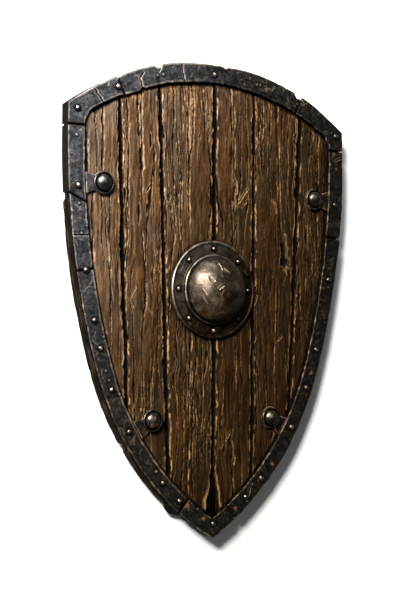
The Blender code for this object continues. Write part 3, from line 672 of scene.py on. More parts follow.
def cut_rot(x, y, board, depth, scuff_and_highlight, black):
    """Adds the wedge that has rotted away above the tip."""
    down = np.clip((ROT_TOP - y) / ROT_LENGTH, 0, 1.3)
    ragged = 0.80 + 0.35 * hills(y / 0.012, np.sign(x) * 3 + 5, 95) + 0.25 * hills(x / 0.003, y / 0.02, 96)
    away = np.abs(x - MARK_SHIFT) / (ROT_HALF_WIDTH * down * ragged + 1e-6)
    cut = fade(away, 0.70, 1.05) * (down > 0)
    depth = np.maximum(depth, ROT_DEPTH * cut)
    black = np.maximum(black, fade(away, 0.85, 1.05) * (down > 0))
    rim = 0.8 * ease(away, 0.95, 1.1) * fade(away, 1.2, 1.6) * (down > 0)
    return depth, np.maximum(scuff_and_highlight * (1 - cut), rim), black


def cut_edges(x, y, board, depth, scuff_and_highlight, black):
    """Sinks the wood beside the band, and paints black shadow on it under the band and round the boss."""
    reach = 0.0040 + 0.0090 * hills(x / 0.006, y / 0.020, 40 * board + 10) * ease(y, 0.0, 0.35)
    inside = edge_distance(x, y) - 0.0028 * (x < 0)
    # Painted shadow: black under the band's inner edge, reaching further near the top, and round the boss
    near_rim = fade(inside, BAND_WIDTH + 0.001, BAND_WIDTH + reach)
    near_boss = fade(np.hypot(x, y - BOSS_Y), FLANGE_RADIUS, FLANGE_RADIUS + 0.008)
    black = np.maximum(np.maximum(black, 0.97 * near_rim), 0.7 * near_boss)
    return depth + 0.0016 * near_rim, scuff_and_highlight * (1 - near_rim), black


def carve(x, y, board):
    """How deep the wood is gone at each place, and how scuffed, black and pale it is there, painted
    highlights and shadow included.
    """
    depth, black, pale = fibres(x, y, board)
    scuff_and_highlight = np.zeros_like(x)
    for cut in (cut_splits, cut_pits, cut_gouges, cut_rot, cut_edges):
        depth, scuff_and_highlight, black = cut(x, y, board, depth, scuff_and_highlight, black)
    return depth, np.clip(scuff_and_highlight, 0, 1), np.clip(black, 0, 1), pale


print("depth at the big notch:", round(float(carve(np.array([0.1475]), np.array([0.08]), 5)[0][0]), 4), "m")

# %% [markdown]
# ## From points to a piece
# Boards, band, nails and boss all become lists of points and faces, so one helper turns such lists
# into a piece. It also hangs the piece on the root and hides the parts of the solid model that it
# stands for.

# %% Make the piece helper


def finish_piece(name, mesh, material, nodes, slot, sharp):
    """Shades a mesh and makes it a piece that stands for the CAD nodes named."""
    mesh.materials.append(material)
    mesh.shade_smooth()
    mesh.set_sharp_from_angle(angle=math.radians(sharp))
    mesh.update()
    piece = bpy.data.objects.new(name, mesh)
    scene.collection.objects.link(piece)
    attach(piece, "root")
    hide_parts(*nodes)
    return piece


def make_piece(name, points, faces, marks, material, nodes, slot, sharp=50):
    """A finished piece from its points and faces, with a number on each point for every mark."""
    mesh = bpy.data.meshes.new(name)
    mesh.from_pydata(points, [], faces)
    for mark, values in marks.items():
        layer = mesh.attributes.new(mark, 'FLOAT', 'POINT')
        layer.data.foreach_set("value", np.asarray(values, np.float32))
    return finish_piece(name, mesh, material, nodes, slot, sharp)


def quads(*corners):
    """Faces with four corners each, from four arrays of point numbers."""
    return np.stack(corners, -1).reshape(-1, 4).tolist()


def corners(node):
    """Low and high corner of a CAD node, and its middle."""
    low, high = (Vector(corner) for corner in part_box(node))
    return low, high, (low + high) / 2


print("one face:", quads([0], [1], [2], [3]))

# %% [markdown]
# A board is built as rows of points up its face, walls round its edge and a plainer back. One big
# flat cube could be cut and sculpted, but rows that follow the seams keep the points where the
# edges need them. The seams open towards the front, since boards shrink and wear there first.

# %% Lay out the boards
SEAM_GAP = 0.0012
BOARD_INSET = 0.0023
HAND_HOLE = 0.052
CELL_ACROSS = 0.00088
CELL_ALONG = 0.0017
BACK_CELLS = 8
# The outer edge leans out below the band, where no iron folds over it
LEAN_OUT = 0.0042
SPLINTER_OUT = 0.0040
STRAP_FOOT_Y = 0.160
CORNER_FOOT_Y = 0.277
# A splinter has broken out of it at the lower left. It leans down towards the back
CHIP_Y = -0.3465
CHIP_LEAN = 0.0165
CHIP_HALF = 0.0060
CHIP_DEPTH = 0.0085
# Levels of a board's wall: how open the seam is there, the level, and how rough it is
WALL_LEVELS = ((1.0, 0.0290, 0.5), (1.0, 0.0265, 1.0), (0.9, 0.0240, 0.3), (0.5, 0.0215, 1.0),
               (0.2, 0.0192, 0.2), (0.0, 0.0172, 0.9), (0.0, 0.0150, 0.3), (0.0, BACK, 0.6))


def edge_wear(rows, level, dent):
    """How far in from even the left and right outer edges sit at a level."""
    down = (FRONT - level) / (FRONT - BACK)
    out = LEAN_OUT * ease(down, 0, 0.6) * (0.75 + 0.4 * wave(rows, 0.045, 0, 71))
    chip_y = CHIP_Y - CHIP_LEAN * down
    splinter = SPLINTER_OUT * down * ease(rows, chip_y + 0.034, chip_y + 0.002)
    chip = CHIP_DEPTH * np.clip(1 - np.abs(rows - chip_y) / CHIP_HALF, 0, 1) ** 0.7
    out_left = (out + splinter) * ease(rows, chip_y - 0.001, chip_y + 0.003)
    left = dent + chip - out_left * fade(rows, STRAP_FOOT_Y - 0.008, STRAP_FOOT_Y)
    right = dent - out * fade(rows, CORNER_FOOT_Y - 0.008, CORNER_FOOT_Y)
    return left, right


def seam_at(number, y):
    """The x of a seam at a height."""
    above, below = SEAMS[number]
    return (above + below) / 2 + (above - below) / 2 * y / SEAM_SPAN + SEAM_SHIFT[number]


def board_sides(number, y_left, y_right, rough, open_by):
    """Left and right x of a board at each row."""
    left = -side_x(y_left, BOARD_INSET + rough[0])
    right = side_x(y_right, BOARD_INSET + rough[1])
    if number > 0:
        left = np.maximum(left, seam_at(number - 1, y_left) + SEAM_GAP / 2 + open_by[0])
    if number < len(SEAMS):
        right = np.minimum(right, seam_at(number, y_right) - SEAM_GAP / 2 - open_by[1])
    if number == 2:
        hole = np.sqrt(np.maximum(HAND_HOLE ** 2 - (y_right - BOSS_Y) ** 2, 0))
        right = np.where(hole > 0, np.minimum(right, -hole), right)
    if number == 3:
        left = np.maximum(left, np.sqrt(np.maximum(HAND_HOLE ** 2 - (y_left - BOSS_Y) ** 2, 0)))
    return left, right


def place_rows(number, rows, columns, top, rough, open_by):
    """Places of the face's points. Rows bend up to follow the arched top edge."""
    rise = ease(rows, top - 0.16, top)[:, None]
    y = np.repeat(rows[:, None], len(columns), 1)
    for _ in range(5):
        left, right = board_sides(number, y[:, 0], y[:, -1], rough, open_by)
        x = left[:, None] + (right - left)[:, None] * columns
        y = rows[:, None] + rise * (crown_height(x, BOARD_INSET + 0.0008) - top)
    return x, y


def seam_opening(number, y, width):
    """How far the front edges on both sides of a board's seams have worn back."""
    sides = []
    for seam, sign in ((number - 1, 1), (number, -1)):
        if 0 <= seam < len(SEAMS):
            common = 0.0016 * (wave(y, 0.050, seam, 61) - 0.5)
            own = 0.0034 * wave(y, 0.008, seam, 62 + sign) * wave(y, 0.030, seam, 65 + sign)
            own = own + 0.0010 * wave(y, 0.0035, seam, 68 + sign)
            sides.append(np.clip(SEAM_RECESS[seam] * 0.38 + own + sign * common, 0.0002, 0.2 * width))
        else:
            sides.append(y * 0)
    return sides


level_line = np.array([0.2])
sides = [board_sides(number, level_line, level_line, (0, 0), (0, 0)) for number in range(len(SEAMS) + 1)]
print("board widths:", [round(float(right[0] - left[0]), 3) for left, right in sides], "m")

# %% [markdown]
# Handling rubs crests pale, and slopes that face the lamp get painted highlights, fainter towards
# the lower right. Hollows get painted shade. A crest is a point that lies higher than the mean of
# its neighbours, so the carved depth itself says where the wear, the highlights and the shade go.

# %% Wear the boards


def blurred(values, across, along):
    """Mean over a window of neighbours."""
    for axis, half in ((1, across), (0, along)):
        pad = [(0, 0), (0, 0)]
        pad[axis] = (half, half)
        wide = np.pad(values, pad, mode='edge')
        count = values.shape[axis]
        window = 2 * half + 1
        values = sum(np.take(wide, range(i, i + count), axis) for i in range(window)) / window
    return values


def wear_face(number, x, y, rows, opening, seed):
    """Depth, scuffs with painted highlights, blackness with painted shade, and paleness of a board's face,
    its crests and edges rubbed.
    """
    depth, scuff_and_highlight, black, pale = carve(x, y, number)
    crest = blurred(depth, 3, 3) - depth
    # Slopes that face the lamp, to be painted as highlights
    lamp_facing_slope = np.gradient(-depth, axis=1) / np.maximum(np.gradient(x, axis=1), 1e-5)
    lively = ease(hills(x / 0.022, y / 0.060, seed + 8), 0.30, 0.80)
    # Painted highlights fade towards the lower right
    highlight_falloff = 1 - 0.50 * ease(x - 0.5 * y, -0.12, 0.20)
    scuff_and_highlight = np.maximum(scuff_and_highlight, highlight_falloff * ease(crest, 0.0003, 0.0012) * (0.13 + 0.37 * lively))
    scuff_and_highlight = np.maximum(scuff_and_highlight, highlight_falloff * ease(lamp_facing_slope, 0.60, 1.4) * ease(crest, -0.0004, 0.0003)
                       * (0.17 + 0.55 * lively))
    # Painted shade: hollows are painted black
    black = np.maximum(black, ease(-crest, 0.0002, 0.0010) * 0.85)
    # Edges along the seams: their insides are painted black as shade, and the lip on a board's left edge,
    # which faces the lamp, gets a painted highlight twice as strong as the one on its right edge
    for side, away in ((0, x - x[:, :1]), (1, x[:, -1:] - x)):
        seam_side = (np.array(opening[side]) > 0)[:, None]
        turn_in = (0.0016 + 0.0018 * wave(rows, 0.012, side, seed + 1))[:, None]
        turn_in = np.where(seam_side, turn_in, 0.0008)
        near = np.clip(1 - away / turn_in, 0, 1)
        depth = depth + turn_in * (1 - np.sqrt(1 - near ** 2))
        black = np.maximum(black, ease(near, 0.35, 0.95) * seam_side)
        lip = ease(away, turn_in * 0.5, turn_in * 0.9) * fade(away, turn_in * 1.2, turn_in * 2.0)
        lip = lip * ease(wave(rows, 0.008, side, seed + 2), 0.36, 0.66)[:, None] * (0.45 + 0.55 * highlight_falloff)
        scuff_and_highlight = np.maximum(scuff_and_highlight, lip * seam_side * (1.0 if side == 0 else 0.5))
    return np.clip(depth, -0.0002, 0.0135), scuff_and_highlight, black, pale


print("a window of three:", blurred(np.eye(3), 1, 0)[0].round(2))

# %% [markdown]
# The walls are rings of points, each a little further back, and the back has few points because
# few people look at it. A solid copy of the face would be simpler but twice as heavy.

# %% Build the boards


def around(grid):
    """The values round the edge of a grid: up the left, along the top, down the right."""
    return np.concatenate([grid[:, 0], grid[-1, 1:], grid[-2::-1, -1], grid[0, -2:0:-1]])


def board_rows(number):
    """Heights of a board's rows, and of the middle of its top."""
    probe = np.linspace(TIP_Y + 0.004, 0.30, 4000)
    low, high = board_sides(number, probe, probe, (0, 0), (0, 0))
    bottom = probe[np.argmax(high - low > 0.004)]
    middle = sum(float(side[-1]) for side in (low, high)) / 2
    top = float(crown_height(middle, BOARD_INSET))
    rows = np.linspace(bottom, top, int((top - bottom) / CELL_ALONG))
    if number in (2, 3):
        turns = np.linspace(0, math.pi, 25)
        rows = np.unique(np.concatenate([rows, BOSS_Y - HAND_HOLE * np.cos(turns)]))
        rows = rows[np.concatenate([[True], np.diff(rows) > 0.0003])]
    return rows, top


def back_faces(ring, inner, every, count_across):
    """Faces of the plainer back, between the last ring of points and those inside it."""
    count_up = len(inner) + 2
    right_start = count_up + count_across - 2
    net = np.empty((count_up, BACK_CELLS + 1), int)
    net[:, 0] = ring[:count_up]
    net[::-1, -1] = ring[right_start:right_start + count_up]
    top_row = ring[count_up - 1:right_start + 1]
    bottom_row = np.concatenate([ring[:1], ring[right_start + count_up:][::-1], net[:1, -1]])
    net[-1], net[0] = top_row[::every], bottom_row[::every]
    net[1:-1, 1:-1] = inner
    faces = []
    for row in range(count_up - 1):
        for cell in range(BACK_CELLS):
            part = slice(cell * every, (cell + 1) * every + 1)
            below = bottom_row[part][::-1] if row == 0 else net[row, cell:cell + 2][::-1]
            above = top_row[part] if row == count_up - 2 else net[row + 1, cell:cell + 2]
            faces.append([int(i) for i in (*above, *below)])
    return faces


def make_board(number):
    """One board, counted from the left."""
    name = f"board_{number + 1}"
    seed = 300 + 10 * number
    rows, top = board_rows(number)
    low, high = board_sides(number, rows, rows, (0, 0), (0, 0))
    width = high - low
    across = int(np.max(width) / CELL_ACROSS / BACK_CELLS + 1) * BACK_CELLS
    even = np.linspace(0, 1, across + 1)
    columns = 0.5 * even + 0.5 * ease(even, 0, 1)
    opening = seam_opening(number, rows, width)
    ragged = 0.0016 * wave(rows, 0.007, 0, seed)
    x, y = place_rows(number, rows, columns, top, edge_wear(rows, FRONT, ragged), opening)
    depth, scuff_and_highlight, black, pale = wear_face(number, x, y, rows, opening, seed)

    points = [np.stack([x.ravel(), y.ravel(), (FRONT - depth).ravel()], 1)]
    marks = {"wear_and_highlight": [scuff_and_highlight.ravel()], "grime_and_shade": [black.ravel()], "pale": [pale.ravel()]}
    index = np.arange(x.size).reshape(x.shape)
    faces = quads(index[:-1, :-1], index[:-1, 1:], index[1:, 1:], index[1:, :-1])
    ring, total = around(index), x.size
    on_edge = np.abs(around(edge_distance(x, y))) < 0.008
    for share, level, roughness in WALL_LEVELS:
        dent = 0.0016 * roughness * wave(rows, 0.011, 900 * level, seed + 3)
        shut = [side * share for side in opening]
        at_x, at_y = place_rows(number, rows, columns, top, edge_wear(rows, level, dent), shut)
        loop = np.stack([around(at_x), around(at_y), np.full(len(ring), level)], 1)
        points.append(loop)
        line = hills(loop[:, 1] / 0.030, loop[:, 2] / 0.0008 + loop[:, 0] * 90, seed + 4)
        # The walls are painted near black as shade, those in the seams fully, with pale grain lines along
        # the outer walls
        marks["wear_and_highlight"].append(np.where(on_edge, 0.40 * ease(line, 0.55, 0.95), 0.0))
        marks["grime_and_shade"].append(np.where(on_edge, 0.99 - 0.14 * ease(line, 0.45, 0.9), 1.0))
        marks["pale"].append(line)
        lower = total + np.arange(len(ring))
        faces += quads(ring, np.roll(ring, -1), np.roll(lower, -1), lower)
        ring = lower
        total += len(lower)

    every = across // BACK_CELLS
    inner_x, inner_y = at_x[1:-1, every:-1:every], at_y[1:-1, every:-1:every]
    relief = 0.0009 * hills(inner_x / 0.012, inner_y / 0.12, seed + 5)
    points.append(np.stack([inner_x.ravel(), inner_y.ravel(), BACK + relief.ravel()], 1))
    marks["wear_and_highlight"].append(0.2 + 0 * inner_x.ravel())
    marks["grime_and_shade"].append(0.35 * hills(inner_x / 0.02, inner_y / 0.1, seed + 6).ravel())
    marks["pale"].append(hills(inner_x / 0.004, inner_y / 0.06, seed + 7).ravel())
    faces += back_faces(ring, total + np.arange(inner_x.size).reshape(inner_x.shape), every, across + 1)
    return make_piece(f"oak_{name}", np.concatenate(points), faces,
                      {mark: np.concatenate(values) for mark, values in marks.items()},
                      face_oak, [name], "boards")


boards = [make_board(number) for number in range(len(SEAMS) + 1)]
print([(board.name, len(board.data.polygons)) for board in boards])

# %% [markdown]
# ## Forged iron
# The band was hammered flat, so its face is never quite even. Handling polishes the edges bright,
# and painted highlights make them brightest at the upper left. Water leaves brown rust in the
# corners and round the nails. Painted shade darkens the iron towards the lower right, and the
# boss's dome gets a painted highlight and a painted shaded side. The real smith would cut the strip
# from sheet and bend it hot.

# %% Mix the iron
RUST = (0.120, 0.056, 0.020)
OLD_RUST = (0.055, 0.027, 0.009)
IRON_SCRATCH = (0.36, 0.34, 0.31)
IRON_GRIME_AND_SHADE = (0.0045, 0.0038, 0.0030)
# Colours of rubbed places, painted brighter towards the upper left as a highlight
IRON_RUBBED_AND_LIT_TONES = ((0.10, (0.56, 0.51, 0.45)), (0.38, (0.34, 0.27, 0.19)), (0.85, (0.27, 0.20, 0.12)))
# Painted light falloff: how the iron darkens as painted shade away from the lit upper left, on the
# shield, on nails and studs, and on the boss, whose dome gets a painted highlight and shaded side
SHIELD_LIGHT_FALLOFF = (*SLANT, ((0.05, (1.15, 1.10, 1.06)), (0.30, (0.52, 0.49, 0.46)), (0.42, (0.34, 0.29, 0.23)),
                        (0.60, (0.22, 0.185, 0.140)), (0.90, (0.135, 0.115, 0.086))))
NAIL_LIGHT_FALLOFF = (*SLANT, ((0.05, (1.00, 0.97, 0.93)), (0.50, (0.62, 0.56, 0.48)), (0.90, (0.50, 0.43, 0.35))))
BOSS_LIGHT_FALLOFF = (5.0, -4.0, 0.575, ((0.05, (1.00, 0.94, 0.87)), (0.48, (0.42, 0.335, 0.232)),
                                (0.76, (0.085, 0.060, 0.030)), (0.95, (0.34, 0.26, 0.16))))


def iron(name, dark, pale, rough, metallic, scale, light_falloff, rust=RUST, bump=0.0008,
         highlight_tint=(1, 1, 1), gleam=DULL):
    """Iron with mottled scale, rubbed bright places, rust and painted light falloff. It reads the marks for
    rubbing and highlight, for rust, and for soiling and shade.
    """
    made = Recipe(name)
    cloud = made.noise((70 * scale,) * 3, 6, 0.72, 0.8)
    speck = made.noise((420 * scale,) * 3, 4, 0.7)
    scratch = made.noise((900 * scale, 60 * scale, 300), 3, 0.55, 1.2, (0, 0, 0.7))
    other = made.noise((60 * scale, 700 * scale, 300), 3, 0.55, 1.2, (0, 0, 0.35))
    tone = made.sums('ADD', made.range(cloud, 0.36, 0.62, 0.0, 0.65),
                     made.range(speck, 0.35, 0.65, 0.0, 0.35))
    between = tuple((a + b) / 2.4 for a, b in zip(dark, pale))
    body = made.ramp(tone, ((0.05, dark), (0.55, between), (0.98, pale)))
    lines = made.sums('MAXIMUM', made.range(scratch, 0.67, 0.74), made.range(other, 0.68, 0.75))
    body = made.mix(made.sums('MULTIPLY', lines, 0.40), body, IRON_SCRATCH)
    # Painted light falloff: the iron darkens towards the lower right as painted shade, and the boss's dome
    # gets a painted highlight on its upper left
    slope, falloff_tint = made.across(*light_falloff)
    body = made.mix(1.0, body, falloff_tint, 'MULTIPLY')
    stain = made.range(made.noise((38 * scale,) * 3, 5, 0.65, 0.6), 0.60, 0.70)
    rusty = made.sums('MAXIMUM', made.sums('MULTIPLY', stain, 0.55), made.mark("rusty"))
    rusty = made.sums('MULTIPLY', rusty, made.range(speck, 0.30, 0.52, 0.45, 1.0))
    body = made.mix(rusty, body, rust)
    wear_and_highlight = made.sums('MULTIPLY', made.mark("wear_and_highlight"), made.range(speck, 0.34, 0.52, 0.25, 1.0))
    # Rubbed places get a painted highlight, brightest at the upper left, tinted brighter on nails and studs
    shine = made.ramp(slope, [(place, tuple(a * b for a, b in zip(highlight_tint, colour)))
                              for place, colour in IRON_RUBBED_AND_LIT_TONES])
    colour = made.mix(wear_and_highlight, body, shine)
    # Near black for grime, and for painted shade on walls, in creases and round nails
    colour = made.mix(made.mark("grime_and_shade"), colour, IRON_GRIME_AND_SHADE)
    gloss = made.sums('ADD', made.range(cloud, 0.3, 0.7, rough - 0.10, rough + 0.10),
                      made.sums('MULTIPLY', rusty, 0.35))
    metal = made.sums('SUBTRACT', metallic, made.sums('MULTIPLY', rusty, 0.8))
    height = made.sums('ADD', made.sums('MULTIPLY', cloud, 0.7), made.sums('MULTIPLY', speck, 0.3))
    return made.finish(colour, gloss, metal, height, bump, specular=gleam)


rim_iron = iron("forged_rim_iron", (0.0105, 0.0135, 0.0180), (0.138, 0.150, 0.172), 0.50, 0.55, 1.9,
                SHIELD_LIGHT_FALLOFF)
# The band's walls are painted almost black as shade
wall_shade_iron = iron("painted_shade_wall_iron", (0.0035, 0.0033, 0.0030), (0.011, 0.0105, 0.0095), 0.85, 0.0, 1.9,
                 SHIELD_LIGHT_FALLOFF, gleam=0.02)
# Nails and studs get brighter, bluer painted highlights
nail_iron = iron("nail_head_iron", (0.030, 0.029, 0.028), (0.110, 0.108, 0.105), 0.30, 0.92, 1.6,
                 NAIL_LIGHT_FALLOFF, bump=0.0006, highlight_tint=(1.6, 1.8, 2.1))
boss_iron = iron("boss_iron_with_painted_light", (0.060, 0.049, 0.038), (0.190, 0.168, 0.142), 0.46, 0.92, 1.1,
                 BOSS_LIGHT_FALLOFF, OLD_RUST, 0.0009)
stud_iron = iron("stud_iron_with_painted_highlight", (0.040, 0.037, 0.035), (0.140, 0.135, 0.130), 0.30, 0.92, 1.3,
                 NAIL_LIGHT_FALLOFF, bump=0.0003, highlight_tint=(1.2, 1.35, 1.6))
print("irons:", [m.name for m in (rim_iron, wall_shade_iron, nail_iron, boss_iron, stud_iron)])

# %% [markdown]
# ## The rim
# The band is nine lengths that meet end to end. At the top corners and the left strap it also folds
# down over the edge. Each length is a cross-section carried along the outline. A bevel and two
# modifiers would be quicker, but a carried section can have a ragged edge, notches and cracks.

# %% List the rim's lengths and damage
END_GAP = 0.0028
BAND_SETBACK = 0.0008
WRAP_WALL = 0.0020
LEG = CORNER_RUN + 0.034
LEFT_TOP = run_at_x(-0.3382 * WIDTH)
RIGHT_TOP = run_at_x(0.3327 * WIDTH)
STRAP = (-run_at_height(0.2077 * HEIGHT), -run_at_height(0.1903 * HEIGHT, BAND_WIDTH))
LEFT_JOINT = -run_at_height(0.0516 * HEIGHT)
RIGHT_JOINT = run_at_height(0.1468 * HEIGHT)
TIP_LEFT = 0.082 - TIP_RUN
TIP_RIGHT = TIP_RUN - 0.056
# Name, then the runs where it starts and ends or turns a corner, and if it folds over the edge
LENGTHS = (
    ("rim_top", (LEFT_TOP, RIGHT_TOP), False),
    ("rim_corner_left", (-LEG, -CORNER_RUN, LEFT_TOP), True),
    ("rim_corner_right", (RIGHT_TOP, CORNER_RUN, LEG), True),
    ("rim_strap_left", (STRAP, -LEG), True),
    ("rim_left_upper", (LEFT_JOINT, STRAP), False),
    ("rim_left_lower", (TIP_LEFT, LEFT_JOINT), False),
    ("rim_right_upper", (LEG, RIGHT_JOINT), False),
    ("rim_right_lower", (RIGHT_JOINT, TIP_RIGHT), False),
    ("rim_tip", (TIP_RIGHT, TIP_RUN, TIP_LEFT + 2 * TIP_RUN), False),
)
# Notches in the band's edge: x and y, half width, depth
NOTCHES = (
    (-0.1885, 0.3625, 0.0034, 0.0048), (-0.1395, 0.3480, 0.0036, 0.0050),
    (-0.1093, 0.3881, 0.0050, 0.0075), (0.0235, 0.4000, 0.0035, 0.0035),
    (0.0235, 0.3740, 0.0030, 0.0025), (0.1759, 0.3667, 0.0060, 0.0070),
    (-0.2528, 0.0399, 0.0030, 0.0040), (-0.2163, -0.0361, 0.0035, 0.0035),
    (0.2496, 0.1176, 0.0060, 0.0045), (0.2700, 0.1200, 0.0040, 0.0030),
    (0.2295, -0.0392, 0.0055, 0.0040), (-0.2250, -0.0630, 0.0050, 0.0045),
    (-0.1850, -0.1560, 0.0060, 0.0040), (-0.0337, -0.3440, 0.0040, 0.0030),
    (0.0660, -0.3050, 0.0050, 0.0030), (0.1270, -0.2150, 0.0050, 0.0030),
    (0.2290, 0.2600, 0.0070, 0.0015), (0.2270, 0.1450, 0.0070, 0.0020),
)
# Cracks and cuts in the band's face: two ends, half width, depth
CRACKS = (
    (-0.2290, 0.3370, -0.2120, 0.3170, 0.0009, 0.0016),
    (-0.1455, 0.3640, -0.1400, 0.3500, 0.0009, 0.0018),
    (-0.1380, 0.3740, -0.1455, 0.3640, 0.0008, 0.0016),
    (-0.1045, 0.3850, -0.1090, 0.3790, 0.0008, 0.0016),
    (-0.0647, 0.3968, -0.0586, 0.3670, 0.0008, 0.0015),
    (0.1715, 0.3751, 0.1869, 0.3553, 0.0011, 0.0018),
    (-0.2640, 0.0990, -0.2370, 0.1005, 0.0008, 0.0014),
    (0.2600, 0.2600, 0.2735, 0.2660, 0.0008, 0.0012),
    (0.0680, -0.3400, 0.0780, -0.3130, 0.0007, 0.0012),
)
# Where the band is broader outwards, and inwards: x and y, reach, how much
BROADER_OUT = ((-0.090, 0.395, 0.100, 0.0026), (0.100, 0.390, 0.070, 0.0036),
               (0.190, 0.355, 0.050, 0.0030), (0.272, 0.180, 0.110, 0.0026))
BROADER_IN = ((-0.146, 0.340, 0.036, 0.0046), (-0.060, 0.370, 0.040, 0.0014))
# Small nails that were forged into the band: x and y, radius, rise
SMALL_NAILS = (
    (-0.2605, 0.2596, 0.0032, 0.0016), (-0.2555, 0.1502, 0.0030, 0.0016),
    (-0.2411, 0.1141, 0.0028, 0.0012), (-0.2503, 0.1024, 0.0032, 0.0016),
    (-0.2050, -0.1181, 0.0032, 0.0016), (-0.1990, -0.1333, 0.0032, 0.0016),
    (-0.1110, -0.2835, 0.0036, 0.0018), (-0.0953, -0.2993, 0.0030, 0.0014),
    (-0.0622, -0.3349, 0.0034, 0.0016), (-0.1115, 0.3718, 0.0034, 0.0018),
    (-0.1009, 0.3748, 0.0034, 0.0018), (0.0554, 0.3834, 0.0026, 0.0014), (0.0878, 0.3785, 0.0034, 0.0018),
    (0.0946, 0.3787, 0.0030, 0.0016), (0.1748, 0.3532, 0.0032, 0.0018), (0.1826, 0.3334, 0.0026, 0.0012),
    (0.2501, 0.3087, 0.0026, 0.0014), (0.2427, 0.0301, 0.0030, 0.0014),
    (-0.2095, -0.0634, 0.0032, 0.0016), (-0.1784, -0.1554, 0.0032, 0.0016),
    (0.1944, 0.3561, 0.0030, 0.0016),
)
# Rust: x and y, radius
RUST_SPOTS = (
    (-0.0184, -0.3667, 0.009), (0.2608, 0.2530, 0.007), (0.2608, 0.2449, 0.005), (0.2163, -0.0803, 0.009),
    (0.2053, -0.1223, 0.009), (0.1220, -0.2798, 0.010), (0.0460, -0.3527, 0.008),
    (0.0667, -0.3341, 0.008), (0.0948, -0.3069, 0.008), (-0.1440, 0.3560, 0.010),
    (-0.0953, -0.2993, 0.008), (-0.0500, -0.3420, 0.014), (0.1590, -0.2160, 0.007),
    (0.1937, -0.1476, 0.007), (-0.1110, -0.2835, 0.006),
)
rim_nails = sorted(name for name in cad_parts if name.startswith("rim_nail"))
NAIL_PLACES = [tuple((low + high) / 2 for low, high in zip(*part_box(node)))[:2] for node in rim_nails]
SCRATCH_COUNT = 150
# Scratches: two ends, half width
SCRATCHES = []
for number in range(SCRATCH_COUNT):
    chance = [float(scatter(np.int64(number), np.int64(row), 251)) for row in range(5)]
    run = (2 * chance[0] - 1) * TIP_RUN
    at_x, at_y = rim_points(run, 0.004 + 0.022 * chance[1])
    size, lean = 0.003 + 0.009 * chance[2] ** 2, math.pi * chance[3]
    SCRATCHES.append((float(at_x), float(at_y), float(at_x) + size * math.cos(lean),
                      float(at_y) + size * math.sin(lean), 0.0003 + 0.0004 * chance[4]))
print(len(NOTCHES), "notches,", len(CRACKS), "cracks,", len(SMALL_NAILS), "small nails")

# %% [markdown]
# Near a corner, a point further in has less way to go. Each length is therefore cut at its turns,
# and every stretch between two cuts is shared out anew for each depth.

# %% Lay the band round the edge
RIM_STEP = 0.0013
FACE_LINES = 24
BEVEL_WIDTHS = (0.0, 0.0005, 0.0011, 0.0017)
BEVEL_DROPS = (1.0, 0.45, 0.14, 0.0)
WALL_SHARES = (0.0, 0.04, 0.2, 0.4, 0.6, 0.8, 0.95)
WALL_TOP = BAND_TOP - 0.0022


def knot_at(run, inset, before):
    """The run of a cut at each inset, for the stretch before it or after it."""
    if isinstance(run, tuple):
        return run[0] + (run[1] - run[0]) * inset / BAND_WIDTH
    sign = math.copysign(1, run)
    if abs(run) == CORNER_RUN:
        if before == (run > 0):
            return sign * CROWN_RADIUS * np.arcsin((CORNER_X - inset) / (CROWN_RADIUS - inset))
        mitre = CROWN_Y + np.sqrt((CROWN_RADIUS - inset) ** 2 - (CORNER_X - inset) ** 2)
        return sign * (CORNER_RUN + CORNER_Y - mitre)
    if run == TIP_RUN:
        near = HIP_RUN + FLANK_RADIUS * (np.arccos(-FLANK_X / (FLANK_RADIUS - inset)) - SHOULDER_TURN)
        return near if before else 2 * TIP_RUN - near
    return run + 0 * inset


def place_band(cuts, parts, inset):
    """Places of all points of a length, when the insets change along it."""
    rows_x, rows_y = np.empty_like(inset), np.empty_like(inset)
    start = 0
    for stretch, (first_cut, last_cut) in enumerate(zip(cuts[:-1], cuts[1:])):
        share = parts[stretch][1 if stretch else 0:, None]
        rows = slice(start, start + len(share))
        part = inset[rows]
        first = knot_at(first_cut, part, False) + (END_GAP / 2 if stretch == 0 else 0)
        last = knot_at(last_cut, part, True) - (END_GAP / 2 if stretch == len(cuts) - 2 else 0)
        rows_x[rows], rows_y[rows] = rim_points(first + (last - first) * share, part)
        start += len(share)
    return rows_x, rows_y


print("a corner's cut at both edges:", knot_at(CORNER_RUN, np.array([0, BAND_WIDTH]), True).round(4))

# %% [markdown]
# The smith's hammer leaves dents, and use adds scratches, cracks and notches. Like the wood's marks
# they are rules, so one function gives the height, the wear with its painted highlight falloff, and
# the painted shade of any point of the band.

# %% Forge the band's face


def broader(x, y, places):
    """How much further the band's edge reaches at each of its points."""
    return sum(most * np.exp(-((x - x0) ** 2 + (y - y0) ** 2) / reach ** 2)
               for x0, y0, reach, most in places)


